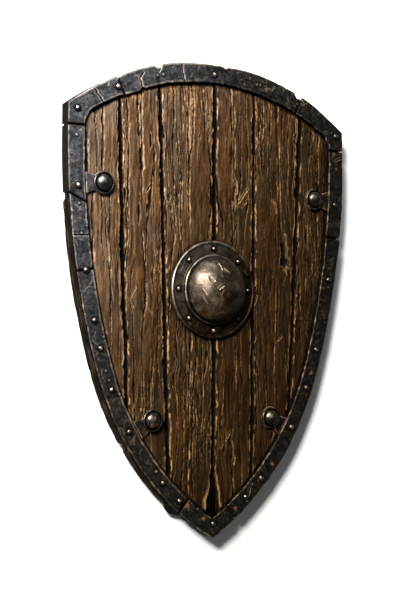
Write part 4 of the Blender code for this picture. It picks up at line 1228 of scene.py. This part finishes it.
def forge(x, y):
    """Height of the band's face over flat, how rubbed (painted fainter to the lower right) and rusty it is,
    and its soiling and painted shadow.
    """
    height = 0.00075 * (spots(x, y, 0.016, 201) - 0.5) + 0.00035 * (spots(x, y, 0.006, 202) - 0.5)
    # Painted highlight falloff: rubbed places are painted fainter towards the lower right
    highlight_falloff = 1 - 0.60 * ease(x - 0.5 * y, -0.15, 0.12)
    wear_and_highlight = 0.20 * ease(spots(x, y, 0.009, 203) * spots(x, y, 0.0028, 204), 0.42, 0.62)
    rusty = 0.0 * x
    calm = 1 - 0.75 * ease(-y, -0.18, 0.08)
    grime_and_shade = 0.55 * ease(spots(x, y, 0.011, 205) + 0.25 * spots(x, y, 0.004, 209), 0.66, 0.98) * calm
    near = x.min() - 0.02, x.max() + 0.02, y.min() - 0.02, y.max() + 0.02
    bent = x + 0.0010 * (spots(x, y, 0.006, 208) - 0.5)
    for *ends, half in SCRATCHES:
        if near[0] < ends[0] < near[1] and near[2] < ends[1] < near[3]:
            away = near_segment(bent, y, *ends)
            cut = fade(away, half * 0.8, half * 2.4)
            height = height - 0.0005 * cut
            wear_and_highlight = np.maximum(wear_and_highlight, 0.55 * cut)
    wear_and_highlight = wear_and_highlight * highlight_falloff * (0.45 + 0.55 * calm)
    for x0, y0, radius in RUST_SPOTS:
        away = np.hypot(x - x0, y - y0) * (0.5 + 1.1 * spots(x, y, 0.003, 206))
        rusty = np.maximum(rusty, 0.85 * fade(away, radius * 0.15, radius * 0.55))
    for x0, y0, radius, rise in SMALL_NAILS:
        away = np.hypot(x - x0, y - y0)
        height = height + rise * np.sqrt(np.clip(1 - (away / radius) ** 2, 0, 1))
        wear_and_highlight = np.maximum(wear_and_highlight * ease(away, radius, radius * 1.4), 0.75 * fade(away, 0, radius * 0.8))
        shadow = ease(away, radius * 0.85, radius) * fade(away, radius * 1.2, radius * 1.8)
        grime_and_shade = np.maximum(grime_and_shade, 0.9 * shadow)
    # Painted shadow: a dark ring round each rim nail's head
    for x0, y0 in NAIL_PLACES:
        grime_and_shade = np.maximum(grime_and_shade, 0.9 * fade(np.hypot(x - x0, y - y0), 0.0060, 0.0084))
    bent = x + 0.0024 * (hills(y / 0.005, x * 0, 207) - 0.5)
    for *ends, half, deep in CRACKS:
        away = near_segment(bent, y, *ends)
        cut = fade(away, half * 1.1, half * 1.9)
        height = height - deep * cut
        lip = ease(away, half * 1.8, half * 2.2) * fade(away, half * 2.6, half * 3.6)
        wear_and_highlight = np.maximum(wear_and_highlight * (1 - cut), 0.9 * lip)
        grime_and_shade = np.maximum(grime_and_shade, cut)
    return height, wear_and_highlight, rusty, grime_and_shade


def notched(x, y):
    """How far notches eat into the band's edge at each of its points."""
    eaten = 0 * x
    for x0, y0, half, deep in NOTCHES:
        away = np.hypot(x - x0, y - y0) / half
        eaten = np.maximum(eaten, deep * np.clip(1 - away / 1.6, 0, 1) ** 0.8)
    return eaten


print("most a notch eats:", round(float(notched(*np.array(NOTCHES)[:, :2].T).max()), 4), "m")

# %% [markdown]
# A length is a row of lines of points, laid side by side from its outer foot over the face to its
# inner foot. Its two ends are closed by one face each.

# %% Build the rim


def band_edges(outside, inside, corner, folds, seed):
    """How far in the outer and the inner edge of a length lie, row by row."""
    ragged = spots(*outside, 0.006, seed) * spots(*outside, 0.022, seed + 1)
    setback = 0.0 if folds else 0.3 * BAND_SETBACK
    outer = setback + (0.0006 if folds else 0.0018) * ragged + notched(*outside)
    outer = outer - broader(*outside, BROADER_OUT)
    ragged = spots(*inside, 0.007, seed + 2) * spots(*inside, 0.025, seed + 3)
    inner = BAND_WIDTH - 0.0019 * ragged - notched(*inside) + broader(*inside, BROADER_IN)
    if corner:
        mitre_x, mitre_y = rim_points(corner, BAND_WIDTH)
        away = np.hypot(inside[0] - mitre_x, inside[1] - mitre_y)
        inner = inner + 0.0052 * np.exp(-(away / 0.0065) ** 2)
    return outer, inner


def edge_light(outside, inside, crown_left, seed):
    """How bright the edges are, partly rubbed and partly a painted highlight, the painted line lit inside
    them, and the painted shade beside them.
    """
    bright = 0.10 + 0.65 * ease(spots(*outside, 0.009, seed + 6), 0.40, 0.80)
    dashes = ease(hills(outside[0] / 0.005, outside[1] / 0.010, seed + 13), 0.42, 0.60)
    bright = bright * (1 - ease(-outside[0], 0.12, 0.20) * (0.75 - 0.75 * dashes))
    # Painted highlights: brighter along the top left of the outer edge, most on the crown's top left, and
    # along the left of the inner edge
    bright = np.maximum(bright, 0.55 * ease(outside[1], 0.30, 0.35) * ease(-outside[0], -0.16, 0.05))
    bright = np.maximum(bright, 0.70 * crown_left)
    patches = ease(spots(*inside, 0.006, seed + 6), 0.45, 0.80)
    inner_bright = 0.05 + (0.42 + 0.20 * ease(-inside[0], -0.05, 0.05)) * patches
    lit_line = 0.85 * ease(-inside[0], 0.0, 0.1) * (0.25 + inner_bright)
    gloom = 0.55 * ease(spots(*outside, 0.014, seed + 12), 0.25, 0.6)
    return bright, inner_bright, lit_line, gloom


def band_section(outside, inside, corner, folds, seed):
    """Inset, level, rubbing with painted highlights, and painted shade of a length's points. Each row goes
    from the outer foot to the inner.
    """
    outer, inner = band_edges(outside, inside, corner, folds, seed)
    # The top left of the crown gets a wider outer bevel and a painted highlight
    crown_left = ease(outside[1], 0.30, 0.33) * ease(-outside[0], -0.06, 0.02)
    bright, inner_bright, lit_line, gloom = edge_light(outside, inside, crown_left, seed)
    drop = 0.0008 + 0.0008 * spots(*outside, 0.009, seed + 4)
    bevel = (0.7 + 0.7 * spots(*outside, 0.012, seed + 5)) * (0.75 if folds else 1.0)
    outer_bevel = bevel + crown_left
    lines = []

    def lay(inset, level, wear_and_glint=0.0, gloom_line=0.0):
        """Adds a line of points along the length."""
        lines.append([value + 0 * outer for value in (inset, level, wear_and_glint, gloom_line)])

    if folds:
        lay(WRAP_WALL, BACK)
        for share in WALL_SHARES:
            dent = 0.0006 * hills(outside[0] / 0.02, outside[1] / 0.02 + share * 3, seed + 7)
            wear_and_glint = 0.12 * hills(outside[0] / 0.008, outside[1] / 0.008 + share * 9, seed + 8) ** 3
            lay(dent * (0 < share < 0.9), BACK + (BAND_TOP - 0.0014 - BACK) * share, wear_and_glint)
    else:
        lay(outer + 0.0002, BAND_BOTTOM)
    for width, share in zip(BEVEL_WIDTHS, BEVEL_DROPS):
        lay(outer + width * outer_bevel, BAND_TOP - drop * share, bright * (0.9 if share else 0.2))
    start, stop = outer + BEVEL_WIDTHS[-1] * outer_bevel, inner - BEVEL_WIDTHS[-1] * bevel
    flat = np.linspace(0, 1, FACE_LINES)[1:-1]
    for line, share in enumerate(flat):
        # The innermost face line gets the painted lit line, and two lines near the edges get painted shade
        wear_and_glint = lit_line if line == len(flat) - 1 else 0.0
        gloom_line = gloom if line in (1, len(flat) - 3) else 0.0
        lay(start + (stop - start) * share, BAND_TOP, wear_and_glint, gloom_line)
    for width, share in zip(BEVEL_WIDTHS[::-1], BEVEL_DROPS[::-1]):
        wear_and_glint = np.maximum(inner_bright * (0.9 if share else 0.3), lit_line)
        lay(inner - width * bevel, BAND_TOP - drop * share, wear_and_glint)
    lay(inner - 0.0002, BAND_BOTTOM)
    if folds:
        lay(WRAP_WALL, BAND_BOTTOM)
    return np.array(lines).transpose(1, 2, 0)


def make_length(number, name, cuts, folds):
    """One length of the rim."""
    plain = [cut[0] if isinstance(cut, tuple) else cut for cut in cuts]
    if plain[0] > plain[-1]:
        cuts, plain = cuts[::-1], plain[::-1]
    parts = [np.linspace(0, 1, max(6, int((b - a) / RIM_STEP))) for a, b in zip(plain[:-1], plain[1:])]
    count = sum(len(part) for part in parts) - len(parts) + 1
    outside, inside = ([side[:, 0] for side in place_band(cuts, parts, np.full((count, 1), inset))]
                       for inset in (0.0, BAND_WIDTH))
    seed = 500 + 10 * number
    corner = math.copysign(CORNER_RUN, plain[1]) if CORNER_RUN in np.abs(plain) else None
    # Rubbing with painted highlights, and painted shade lines beside the edges
    inset, level, wear_and_highlight, gloom_lines = band_section(outside, inside, corner, folds, seed)
    x, y = place_band(cuts, parts, inset)
    height, face_wear_and_highlight, rusty, grime_and_shade = forge(x, y)

    on_face = (level > BAND_TOP - 0.0018).astype(float)
    bend = np.linspace(0, 1, count)
    end = fade(np.minimum(bend, 1 - bend) * count * RIM_STEP, 0, 0.0030)[:, None]
    level = level + height * on_face - 0.0013 * end * on_face
    shine = ease(end, 0.05, 0.3) * fade(end, 0.35, 0.6)
    shine = shine * spots(outside[0], inside[1], 0.008, seed + 9)[:, None]
    # The band's walls are painted dark as shade
    wall = (level < WALL_TOP) & (inset < 0.0030)
    grime_and_shade = np.maximum(np.maximum(grime_and_shade, gloom_lines), ease(end, 0.4, 0.8)) * on_face
    marks = {
        "wear_and_highlight": np.clip(np.maximum(wear_and_highlight, (face_wear_and_highlight + shine) * on_face), 0, 1).ravel(),
        "rusty": rusty.ravel(),
        "grime_and_shade": np.clip(np.maximum(grime_and_shade, 0.95 * wall), 0, 1).ravel(),
    }
    points = np.stack([x.ravel(), y.ravel(), level.ravel()], 1)
    index = np.arange(inset.size).reshape(inset.shape)
    after = np.roll(index, -1, 1)
    faces = quads(index[:-1], after[:-1], after[1:], index[1:])
    faces += [index[0, ::-1].tolist(), index[-1].tolist()]
    piece = make_piece(f"forged_{name}", points, faces, marks, rim_iron, [name], "rim", 60)
    # Faces on the walls get the painted shade iron
    piece.data.materials.append(wall_shade_iron)
    low, high = (np.array([pick(points[spot, 2] for spot in face) for face in faces])
                 for pick in (min, max))
    on_wall = (high < BAND_TOP - 0.0004) & (low < WALL_TOP)
    piece.data.polygons.foreach_set("material_index", on_wall.astype(int))
    return piece


lengths = [make_length(number, *row) for number, row in enumerate(LENGTHS)]
print([(length.name, len(length.data.polygons)) for length in lengths])

# %% [markdown]
# ## Nails and rivets
# A rose-headed nail is struck a few times, so its dome is a little uneven. A profile turned about
# an axis makes the head and its pin in one. Spheres pushed into the band would look alike from
# above, but they would have no edge and no pin.

# %% Drive the nails
NAIL_HEAD = 0.0055
RIVET_HEAD = 0.0050
NAIL_RISE = 0.0042
NAIL_PIN = 0.0022
HEAD_ANGLES = (90, 74, 58, 42, 27, 13, 2)
HEAD_TURNS = 24


def turned(profile, steps):
    """Radius, height and turn of a turned piece's points, and its faces. Both ends lie on the axis."""
    profile = np.array(profile)
    turns = np.arange(steps) * 2 * math.pi / steps
    radius = np.repeat(profile[1:-1, :1], steps, 1)
    level = np.repeat(profile[1:-1, 1:], steps, 1)
    turns = np.repeat(turns[None, :], len(radius), 0)
    index = 1 + np.arange(radius.size).reshape(radius.shape)
    after = np.roll(index, -1, 1)
    faces = quads(index[:-1], index[1:], after[1:], after[:-1])
    faces += np.stack([np.zeros(steps, int), index[0], after[0]], 1).tolist()
    faces += np.stack([np.full(steps, radius.size + 1), after[-1], index[-1]], 1).tolist()
    radius = np.concatenate([[0], radius.ravel(), [0]])
    level = np.concatenate([profile[:1, 1], level.ravel(), profile[-1:, 1]])
    return radius, level, np.concatenate([[0], turns.ravel(), [0]]), faces


def drive(node, head, seed):
    """A nail or rivet in the place of a CAD node."""
    low, high, middle = corners(node)
    profile = [(head * math.cos(math.radians(angle)), NAIL_RISE * math.sin(math.radians(angle)) ** 0.85)
               for angle in HEAD_ANGLES]
    seat = high.z - NAIL_RISE
    profile += [(head * 0.97, 0), (NAIL_PIN, 0), (NAIL_PIN, low.z - seat), (0, low.z - seat)]
    radius, level, turns, faces = turned(profile, HEAD_TURNS)
    x, y = radius * np.cos(turns), radius * np.sin(turns)
    over = level > 0
    struck = hills(x / 0.0030 + seed, y / 0.0030, 701) - 0.55
    lobed = 1 + over * 0.13 * (hills(np.cos(turns) * 1.3 + seed * 3, np.sin(turns) * 1.3, 702) - 0.75)
    level = level + over * 0.0007 * np.minimum(struck, 0.15)
    rim = ease(radius, head * 0.72, head * 0.98)
    # A painted highlight on the upper left of the head, and painted shade with grime round its rim, where
    # it meets the band
    highlight_spot = np.hypot(x + head * 0.30, y - head * 0.22)
    stained = hills(x / 0.006 + seed, y / 0.006, 704)
    points = np.stack([middle.x + x * lobed, middle.y + y * lobed, seat + level], 1)
    marks = {
        "wear_and_highlight": over * 0.9 * fade(highlight_spot, head * 0.15, head * 0.48),
        "rusty": over * 0.6 * ease(stained + 0.15 * (y + x < 0), 0.78, 0.98),
        "grime_and_shade": np.where(over, 0.60 * rim, 1.0),
    }
    return make_piece(f"driven_{node}", points, faces, marks, nail_iron, [node], "nails", 70)


rivets = sorted(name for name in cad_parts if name.startswith("boss_rivet"))
for nodes, head, first_seed in ((rim_nails, NAIL_HEAD, 0), (rivets, RIVET_HEAD, 40)):
    for seed, node in enumerate(nodes, first_seed):
        drive(node, head, seed)
print(len(rim_nails), "rim nails and", len(rivets), "rivets")

# %% [markdown]
# ## The boss
# The boss is one sheet of iron, beaten hollow over a form, with a raised ring round its dome. It
# was polished once, and blows have left scratches and gouges. The profile is turned as before,
# and each scar is a groove with a raised lip, where the blade pushed the metal aside.

# %% Raise the boss
RING_RADIUS = 0.060
RING_WIDTH = 0.004
RING_RISE = 0.0085
RING_GROOVE = 0.0015
ROLL_WIDTH = 0.0045
ROLL_RISE = 0.0042
DOME_RISE = 0.041
SHEET = 0.0025
SEAT = BAND_BOTTOM
# Scars from the boss's middle: two ends in millimetres, half width, depth, and how bright and rusty
SCARS = (
    (-10.2, 47.9, -9.2, 41.0, 0.55, 0.5, 0.9, 0.0), (-9.2, 41.0, -7.5, 32.0, 0.7, 0.6, 1.0, 0.0),
    (-3.1, 33.3, 6.2, 26.5, 0.9, 0.7, 0.9, 0.1), (-1.3, 30.2, 4.2, 24.4, 0.7, 0.9, 0.0, 0.2),
    (-31.1, 19.0, -29.7, 13.1, 0.9, 0.9, 0.0, 0.3), (-29.0, 19.0, -23.8, 12.6, 0.8, 0.7, 0.9, 0.0),
    (-16.1, -0.8, -9.2, 4.1, 1.1, 0.9, 1.0, 0.1), (-8.6, -1.8, -12.6, -10.0, 0.6, 0.5, 0.3, 0.8),
    (-12.6, -10.0, -10.2, -19.2, 0.6, 0.5, 0.3, 0.8), (-10.2, -19.2, -12.8, -34.3, 0.6, 0.5, 0.3, 0.8),
    (-49.5, 4.3, -43.0, 4.8, 0.9, 0.5, 0.3, 0.8), (-41.2, 0.1, -35.0, -10.3, 0.7, 0.6, 0.9, 0.0),
    (-40.4, -13.8, -33.0, -24.1, 0.7, 0.6, 0.9, 0.1), (-14.3, -42.4, -6.5, -37.6, 0.9, 0.5, 0.3, 0.8),
    (-6.5, -37.6, 3.5, -38.6, 0.9, 0.5, 0.3, 0.8), (3.5, -38.6, 2.3, -44.4, 0.8, 0.5, 0.3, 0.7),
    (14.0, 12.0, 20.0, 2.0, 0.6, 0.5, 0.5, 0.2), (22.0, -18.0, 30.0, -24.0, 0.6, 0.5, 0.6, 0.2),
    (26.0, 30.0, 33.0, 21.0, 0.5, 0.4, 0.7, 0.0), (-24.0, -30.0, -19.0, -38.0, 0.6, 0.5, 0.5, 0.5),
    (-60.0, 38.0, -66.0, 30.0, 0.5, 0.3, 0.7, 0.1), (62.0, 34.0, 70.0, 27.0, 0.5, 0.3, 0.6, 0.2),
    (-52.0, -52.0, -45.0, -60.0, 0.6, 0.3, 0.6, 0.3), (30.0, -62.0, 41.0, -60.0, 0.5, 0.3, 0.6, 0.3),
)
BOSS_TURNS = 320


def arch(radius, rise, base, steps):
    """A dome's profile from its top to its foot."""
    return [(radius * math.cos(a), base + rise * math.sin(a)) for a in np.linspace(math.pi / 2, 0, steps)]


def flat_run(start, end, level, steps):
    """A level stretch of profile between two radii."""
    return [(radius, level) for radius in np.linspace(start, end, steps)]


foot = RING_RADIUS - RING_WIDTH
groove_level = RING_RISE - RING_GROOVE
boss_profile = arch(foot, DOME_RISE, groove_level, 84)
boss_profile += [(foot + 0.0004, RING_RISE - 0.0005), (foot + 0.0011, RING_RISE - 0.0001)]
boss_profile += [(RING_RADIUS + outwards, height) for outwards, height in (
    (-0.0016, RING_RISE - 0.0001), (-0.0006, RING_RISE - 0.0008), (-0.0001, RING_RISE - 0.0022),
    (0.0002, SHEET + 0.0020), (0.0010, SHEET + 0.0006))]
boss_profile += flat_run(RING_RADIUS + 0.0022, FLANGE_RADIUS - ROLL_WIDTH - 0.0006, SHEET, 15)
boss_profile += [(FLANGE_RADIUS - inwards, height) for inwards, height in (
    (ROLL_WIDTH - 0.0006, SHEET + 0.0008), (0.0031, ROLL_RISE - 0.0003), (0.0021, ROLL_RISE),
    (0.0011, ROLL_RISE - 0.0004), (0.0003, SHEET + 0.0004), (0, SHEET - 0.0006), (0, 0.0006), (0.0005, 0))]
boss_profile += flat_run(FLANGE_RADIUS - 0.004, foot - SHEET, 0, 5)
boss_profile += arch(foot - SHEET, DOME_RISE - SHEET, groove_level, 22)[::-1]
radius, level, turns, faces = turned(boss_profile, BOSS_TURNS)
print("boss profile has", len(boss_profile), "points")

# %% [markdown]
# Wear, painted highlights and painted shade are worked out for each point of the turned sheet.
# Points outside are told from those inside by their order in the profile, because the inside stays
# rough and dark. Painting the wear on a picture would be easier to steer, but here dents and colour
# come from the same lines.

# %% Wear the boss
x, y = radius * np.cos(turns), radius * np.sin(turns)
last_outside = next(i for i, place in enumerate(boss_profile) if place[1] == 0)
outside = np.arange(len(radius)) < 1 + (last_outside - 1) * BOSS_TURNS
on_dome = outside & (radius < foot - 0.0002)
beaten = 0.0011 * (spots(x, y, 0.020, 801) - 0.5) + 0.0008 * (spots(x, y, 0.007, 802) - 0.5)
beaten = beaten * np.where(on_dome, fade(radius, foot - 0.008, foot), 0.45)
bright = 0.30 * ease(spots(x, y, 0.011, 803), 0.45, 0.9) * on_dome
rusty = 0.7 * ease(spots(x, y, 0.009, 804) - 14 * (y + 0.3 * x), 0.70, 1.45) * on_dome
rusty = rusty + 0.30 * ease(spots(x, y, 0.006, 805), 0.60, 0.95) * (outside & (radius > RING_RADIUS))
grime_and_shade = 0.5 * ease(spots(x, y, 0.005, 808) * spots(x, y, 0.016, 809), 0.30, 0.60)
for *ends, half, deep, shine, stain in SCARS:
    away = near_segment(x * 1000, y * 1000, *ends)
    away = away * (0.8 + 0.5 * spots(x, y, 0.002, 806))
    cut = fade(away, half * 0.5, half * 1.5)
    beaten = beaten - 0.001 * deep * cut + 0.0005 * deep * np.exp(-((away - half * 2.2) / half) ** 2)
    bright = np.maximum(bright, shine * fade(away, half, half * 2.2))
    rusty = np.maximum(rusty, stain * fade(away, half, half * 2.8))
    grime_and_shade = np.maximum(grime_and_shade, (1 - shine) * 0.8 * cut)
ring_top = outside & (np.abs(radius - RING_RADIUS + RING_WIDTH / 2) < 0.0019) & (level > RING_RISE - 0.002)
patchy = ease(spots(x, y, 0.012, 807), 0.15, 0.6)
bright = np.maximum(bright, 0.60 * ring_top * patchy)
# Painted highlight: the upper left of the boss is painted brighter, and so is its roll there
upper_left = fade(x * 0.8 - y, -0.030, 0.045)
roll = outside & (radius > FLANGE_RADIUS - 0.0036) & (level > SHEET - 0.0012)
bright = np.maximum(bright * (0.35 + 0.65 * upper_left), (0.15 + 0.35 * patchy) * roll * upper_left)
on_flange = outside & (radius > RING_RADIUS)
# Painted shade in the creases at the dome's foot, outside the ring and inside the roll, and round each
# rivet
grime_and_shade = np.maximum(grime_and_shade, 0.85 * (outside & (np.abs(radius - foot) < 0.0009)))
grime_and_shade = np.maximum(grime_and_shade, 0.8 * on_flange * fade(radius - RING_RADIUS, 0.0010, 0.0034))
grime_and_shade = np.maximum(grime_and_shade, 0.7 * on_flange * fade(np.abs(radius - FLANGE_RADIUS + 0.0053), 0.0004, 0.0016))
for node in rivets:
    middle = corners(node)[2]
    away = np.hypot(x - middle.x, y + BOSS_Y - middle.y)
    grime_and_shade = np.maximum(grime_and_shade, 0.9 * outside * fade(away, 0.0056, 0.0076))
grime_and_shade = np.where(outside, grime_and_shade, 0.8)
level = level + np.where(outside, beaten, 0) * (level > 0.001)
points = np.stack([x, y + BOSS_Y, SEAT + level], 1)
marks = {"wear_and_highlight": bright, "rusty": np.clip(rusty, 0, 1), "grime_and_shade": grime_and_shade}
boss = make_piece("beaten_boss", points, faces, marks, boss_iron, ["boss"], "boss", 60)
print("boss has", len(boss.data.polygons), "faces and", len(SCARS), "scars")

# %% [markdown]
# ## Studs
# Each stud is a small dome in a raised ring, turned like the boss. Its pin goes through the tab, a
# board and a batten, and ends behind them.

# %% Set the studs
STUD_DOME = 0.0140
STUD_RISE = 0.0105
STUD_RING = 0.0184
STUD_RING_WIDTH = 0.0034
STUD_RING_RISE = 0.0032
STUD_PIN = 0.0040
STUD_FOOT = 0.0012
STUD_TURNS = 72


def set_stud(node, seed):
    """A stud in the place of a CAD node."""
    low, high, middle = corners(node)
    seat = high.z - STUD_RISE
    profile = arch(STUD_DOME, STUD_RISE - STUD_FOOT, STUD_FOOT, 20)
    inner = STUD_RING - STUD_RING_WIDTH
    profile += [(inner - 0.0003, 0.0008), (inner + 0.0002, 0.0016), (inner + 0.0007, 0.0027),
                (inner + 0.0013, STUD_RING_RISE), (STUD_RING - 0.0012, STUD_RING_RISE),
                (STUD_RING - 0.0005, 0.0027), (STUD_RING, 0.0016), (STUD_RING, 0),
                (STUD_PIN, 0), (STUD_PIN, low.z - seat), (0, low.z - seat)]
    radius, level, turns, faces = turned(profile, STUD_TURNS)
    x, y = radius * np.cos(turns), radius * np.sin(turns)
    over = level > 0
    level = level + over * 0.0007 * (hills(x / 0.007 + seed * 5, y / 0.007, 811) - 0.6)
    ring = (radius > inner + 0.0001) & over
    patchy = ease(hills(x / 0.007 + seed * 5, y / 0.007, 812), 0.1, 0.6)
    # A painted highlight on the upper left of the dome, and painted shade on the ring's inner slope
    highlight_spot = np.hypot(x + 0.35 * STUD_DOME, y - 0.30 * STUD_DOME)
    highlight_spot = 0.85 * over * fade(highlight_spot, 0.05 * STUD_DOME, 0.50 * STUD_DOME)
    marks = {
        "wear_and_highlight": np.where(ring & (level > 0.0020), 0.06 + 0.16 * patchy, highlight_spot),
        "rusty": over * 0.6 * ease(hills(x / 0.006 + seed * 5, y / 0.006, 813), 0.70, 0.92),
        "grime_and_shade": np.where(over, 0.95 * fade(np.abs(radius - inner), 0.0010, 0.0017), 1.0),
    }
    points = np.stack([middle.x + x, middle.y + y, seat + level], 1)
    return make_piece(f"turned_{node}", points, faces, marks, stud_iron, [node], "studs", 70)


studs = sorted(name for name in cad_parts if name.startswith("stud"))
for seed, node in enumerate(studs):
    set_stud(node, seed)
print("set", studs)

# %% [markdown]
# ## Tabs, battens and grip
# These are plain pieces with holes in them. Building them again from nothing would repeat the solid
# model. A copy of each solid gets rounded edges and a fine net of cuts instead, and its surface is
# then moved a little in and out.

# %% Age the plain pieces


def aged(node, slot, material, bevel, cell, wander, grain):
    """An aged copy of a CAD node: its edges rounded and its surface uneven."""
    shape = bmesh.new()
    shape.from_mesh(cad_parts[node].data)
    bmesh.ops.remove_doubles(shape, verts=shape.verts, dist=1e-5)
    bmesh.ops.dissolve_limit(shape, angle_limit=math.radians(1), verts=shape.verts, edges=shape.edges)
    sharp = [edge for edge in shape.edges if edge.calc_face_angle(0) > math.radians(30)]
    made = bmesh.ops.bevel(shape, geom=sharp, offset=bevel, segments=2, profile=0.5, affect='EDGES',
                           clamp_overlap=True)
    for face in shape.faces:
        face.material_index = 0
    for face in made["faces"]:
        face.material_index = 1
    low, high = corners(node)[:2]
    for axis in (0, 1):
        normal = Vector((axis == 0, axis == 1, 0))
        for cut in np.arange(low[axis] + cell * 0.6, high[axis], cell):
            everything = shape.verts[:] + shape.edges[:] + shape.faces[:]
            bmesh.ops.bisect_plane(shape, geom=everything, plane_co=normal * cut, plane_no=normal,
                                   dist=1e-6)
    bmesh.ops.dissolve_degenerate(shape, dist=1e-6, edges=shape.edges)
    shape.normal_update()
    wear_and_highlight, grime_and_shade, rusty = (shape.verts.layers.float.new(mark) for mark in ("wear_and_highlight", "grime_and_shade", "rusty"))
    places = np.array([vert.co[:] for vert in shape.verts])
    x, y, z = places.T
    dents = hills(x / grain[0], y / grain[1] + z / 0.02, 901) - 0.9
    patchy = ease(spots(x, y, 0.009, 902), 0.2, 0.7)
    for vert, dent, patch in zip(shape.verts, dents, patchy):
        rounded = any(face.material_index for face in vert.link_faces)
        vert[wear_and_highlight] = rounded * (0.15 + 0.55 * patch)
        vert[grime_and_shade] = 0.45 * (1 - patch)
        vert[rusty] = 0.5 * max(0.0, patch - 0.6)
        vert.co += vert.normal * wander * dent
    for face in shape.faces:
        face.material_index = 0
    mesh = bpy.data.meshes.new(node + "_aged")
    shape.to_mesh(mesh)
    shape.free()
    mesh.materials.clear()
    return finish_piece(node + "_aged", mesh, material, [node], slot, 50)


plain = [aged(f"tab_{place}", "rim", rim_iron, 0.0006, 0.0016, 0.00035, (0.008, 0.008))
         for place in ("upper_left", "upper_right", "lower_left", "lower_right")]
plain += [aged(f"batten_{place}", "battens", batten_oak, 0.0020, 0.006, 0.0009, (0.060, 0.006))
          for place in ("upper", "lower")]
plain.append(aged("grip_bar", "grip", grip_oak, 0.0030, 0.006, 0.0006, (0.050, 0.010)))
print([(piece.name, len(piece.data.polygons)) for piece in plain])
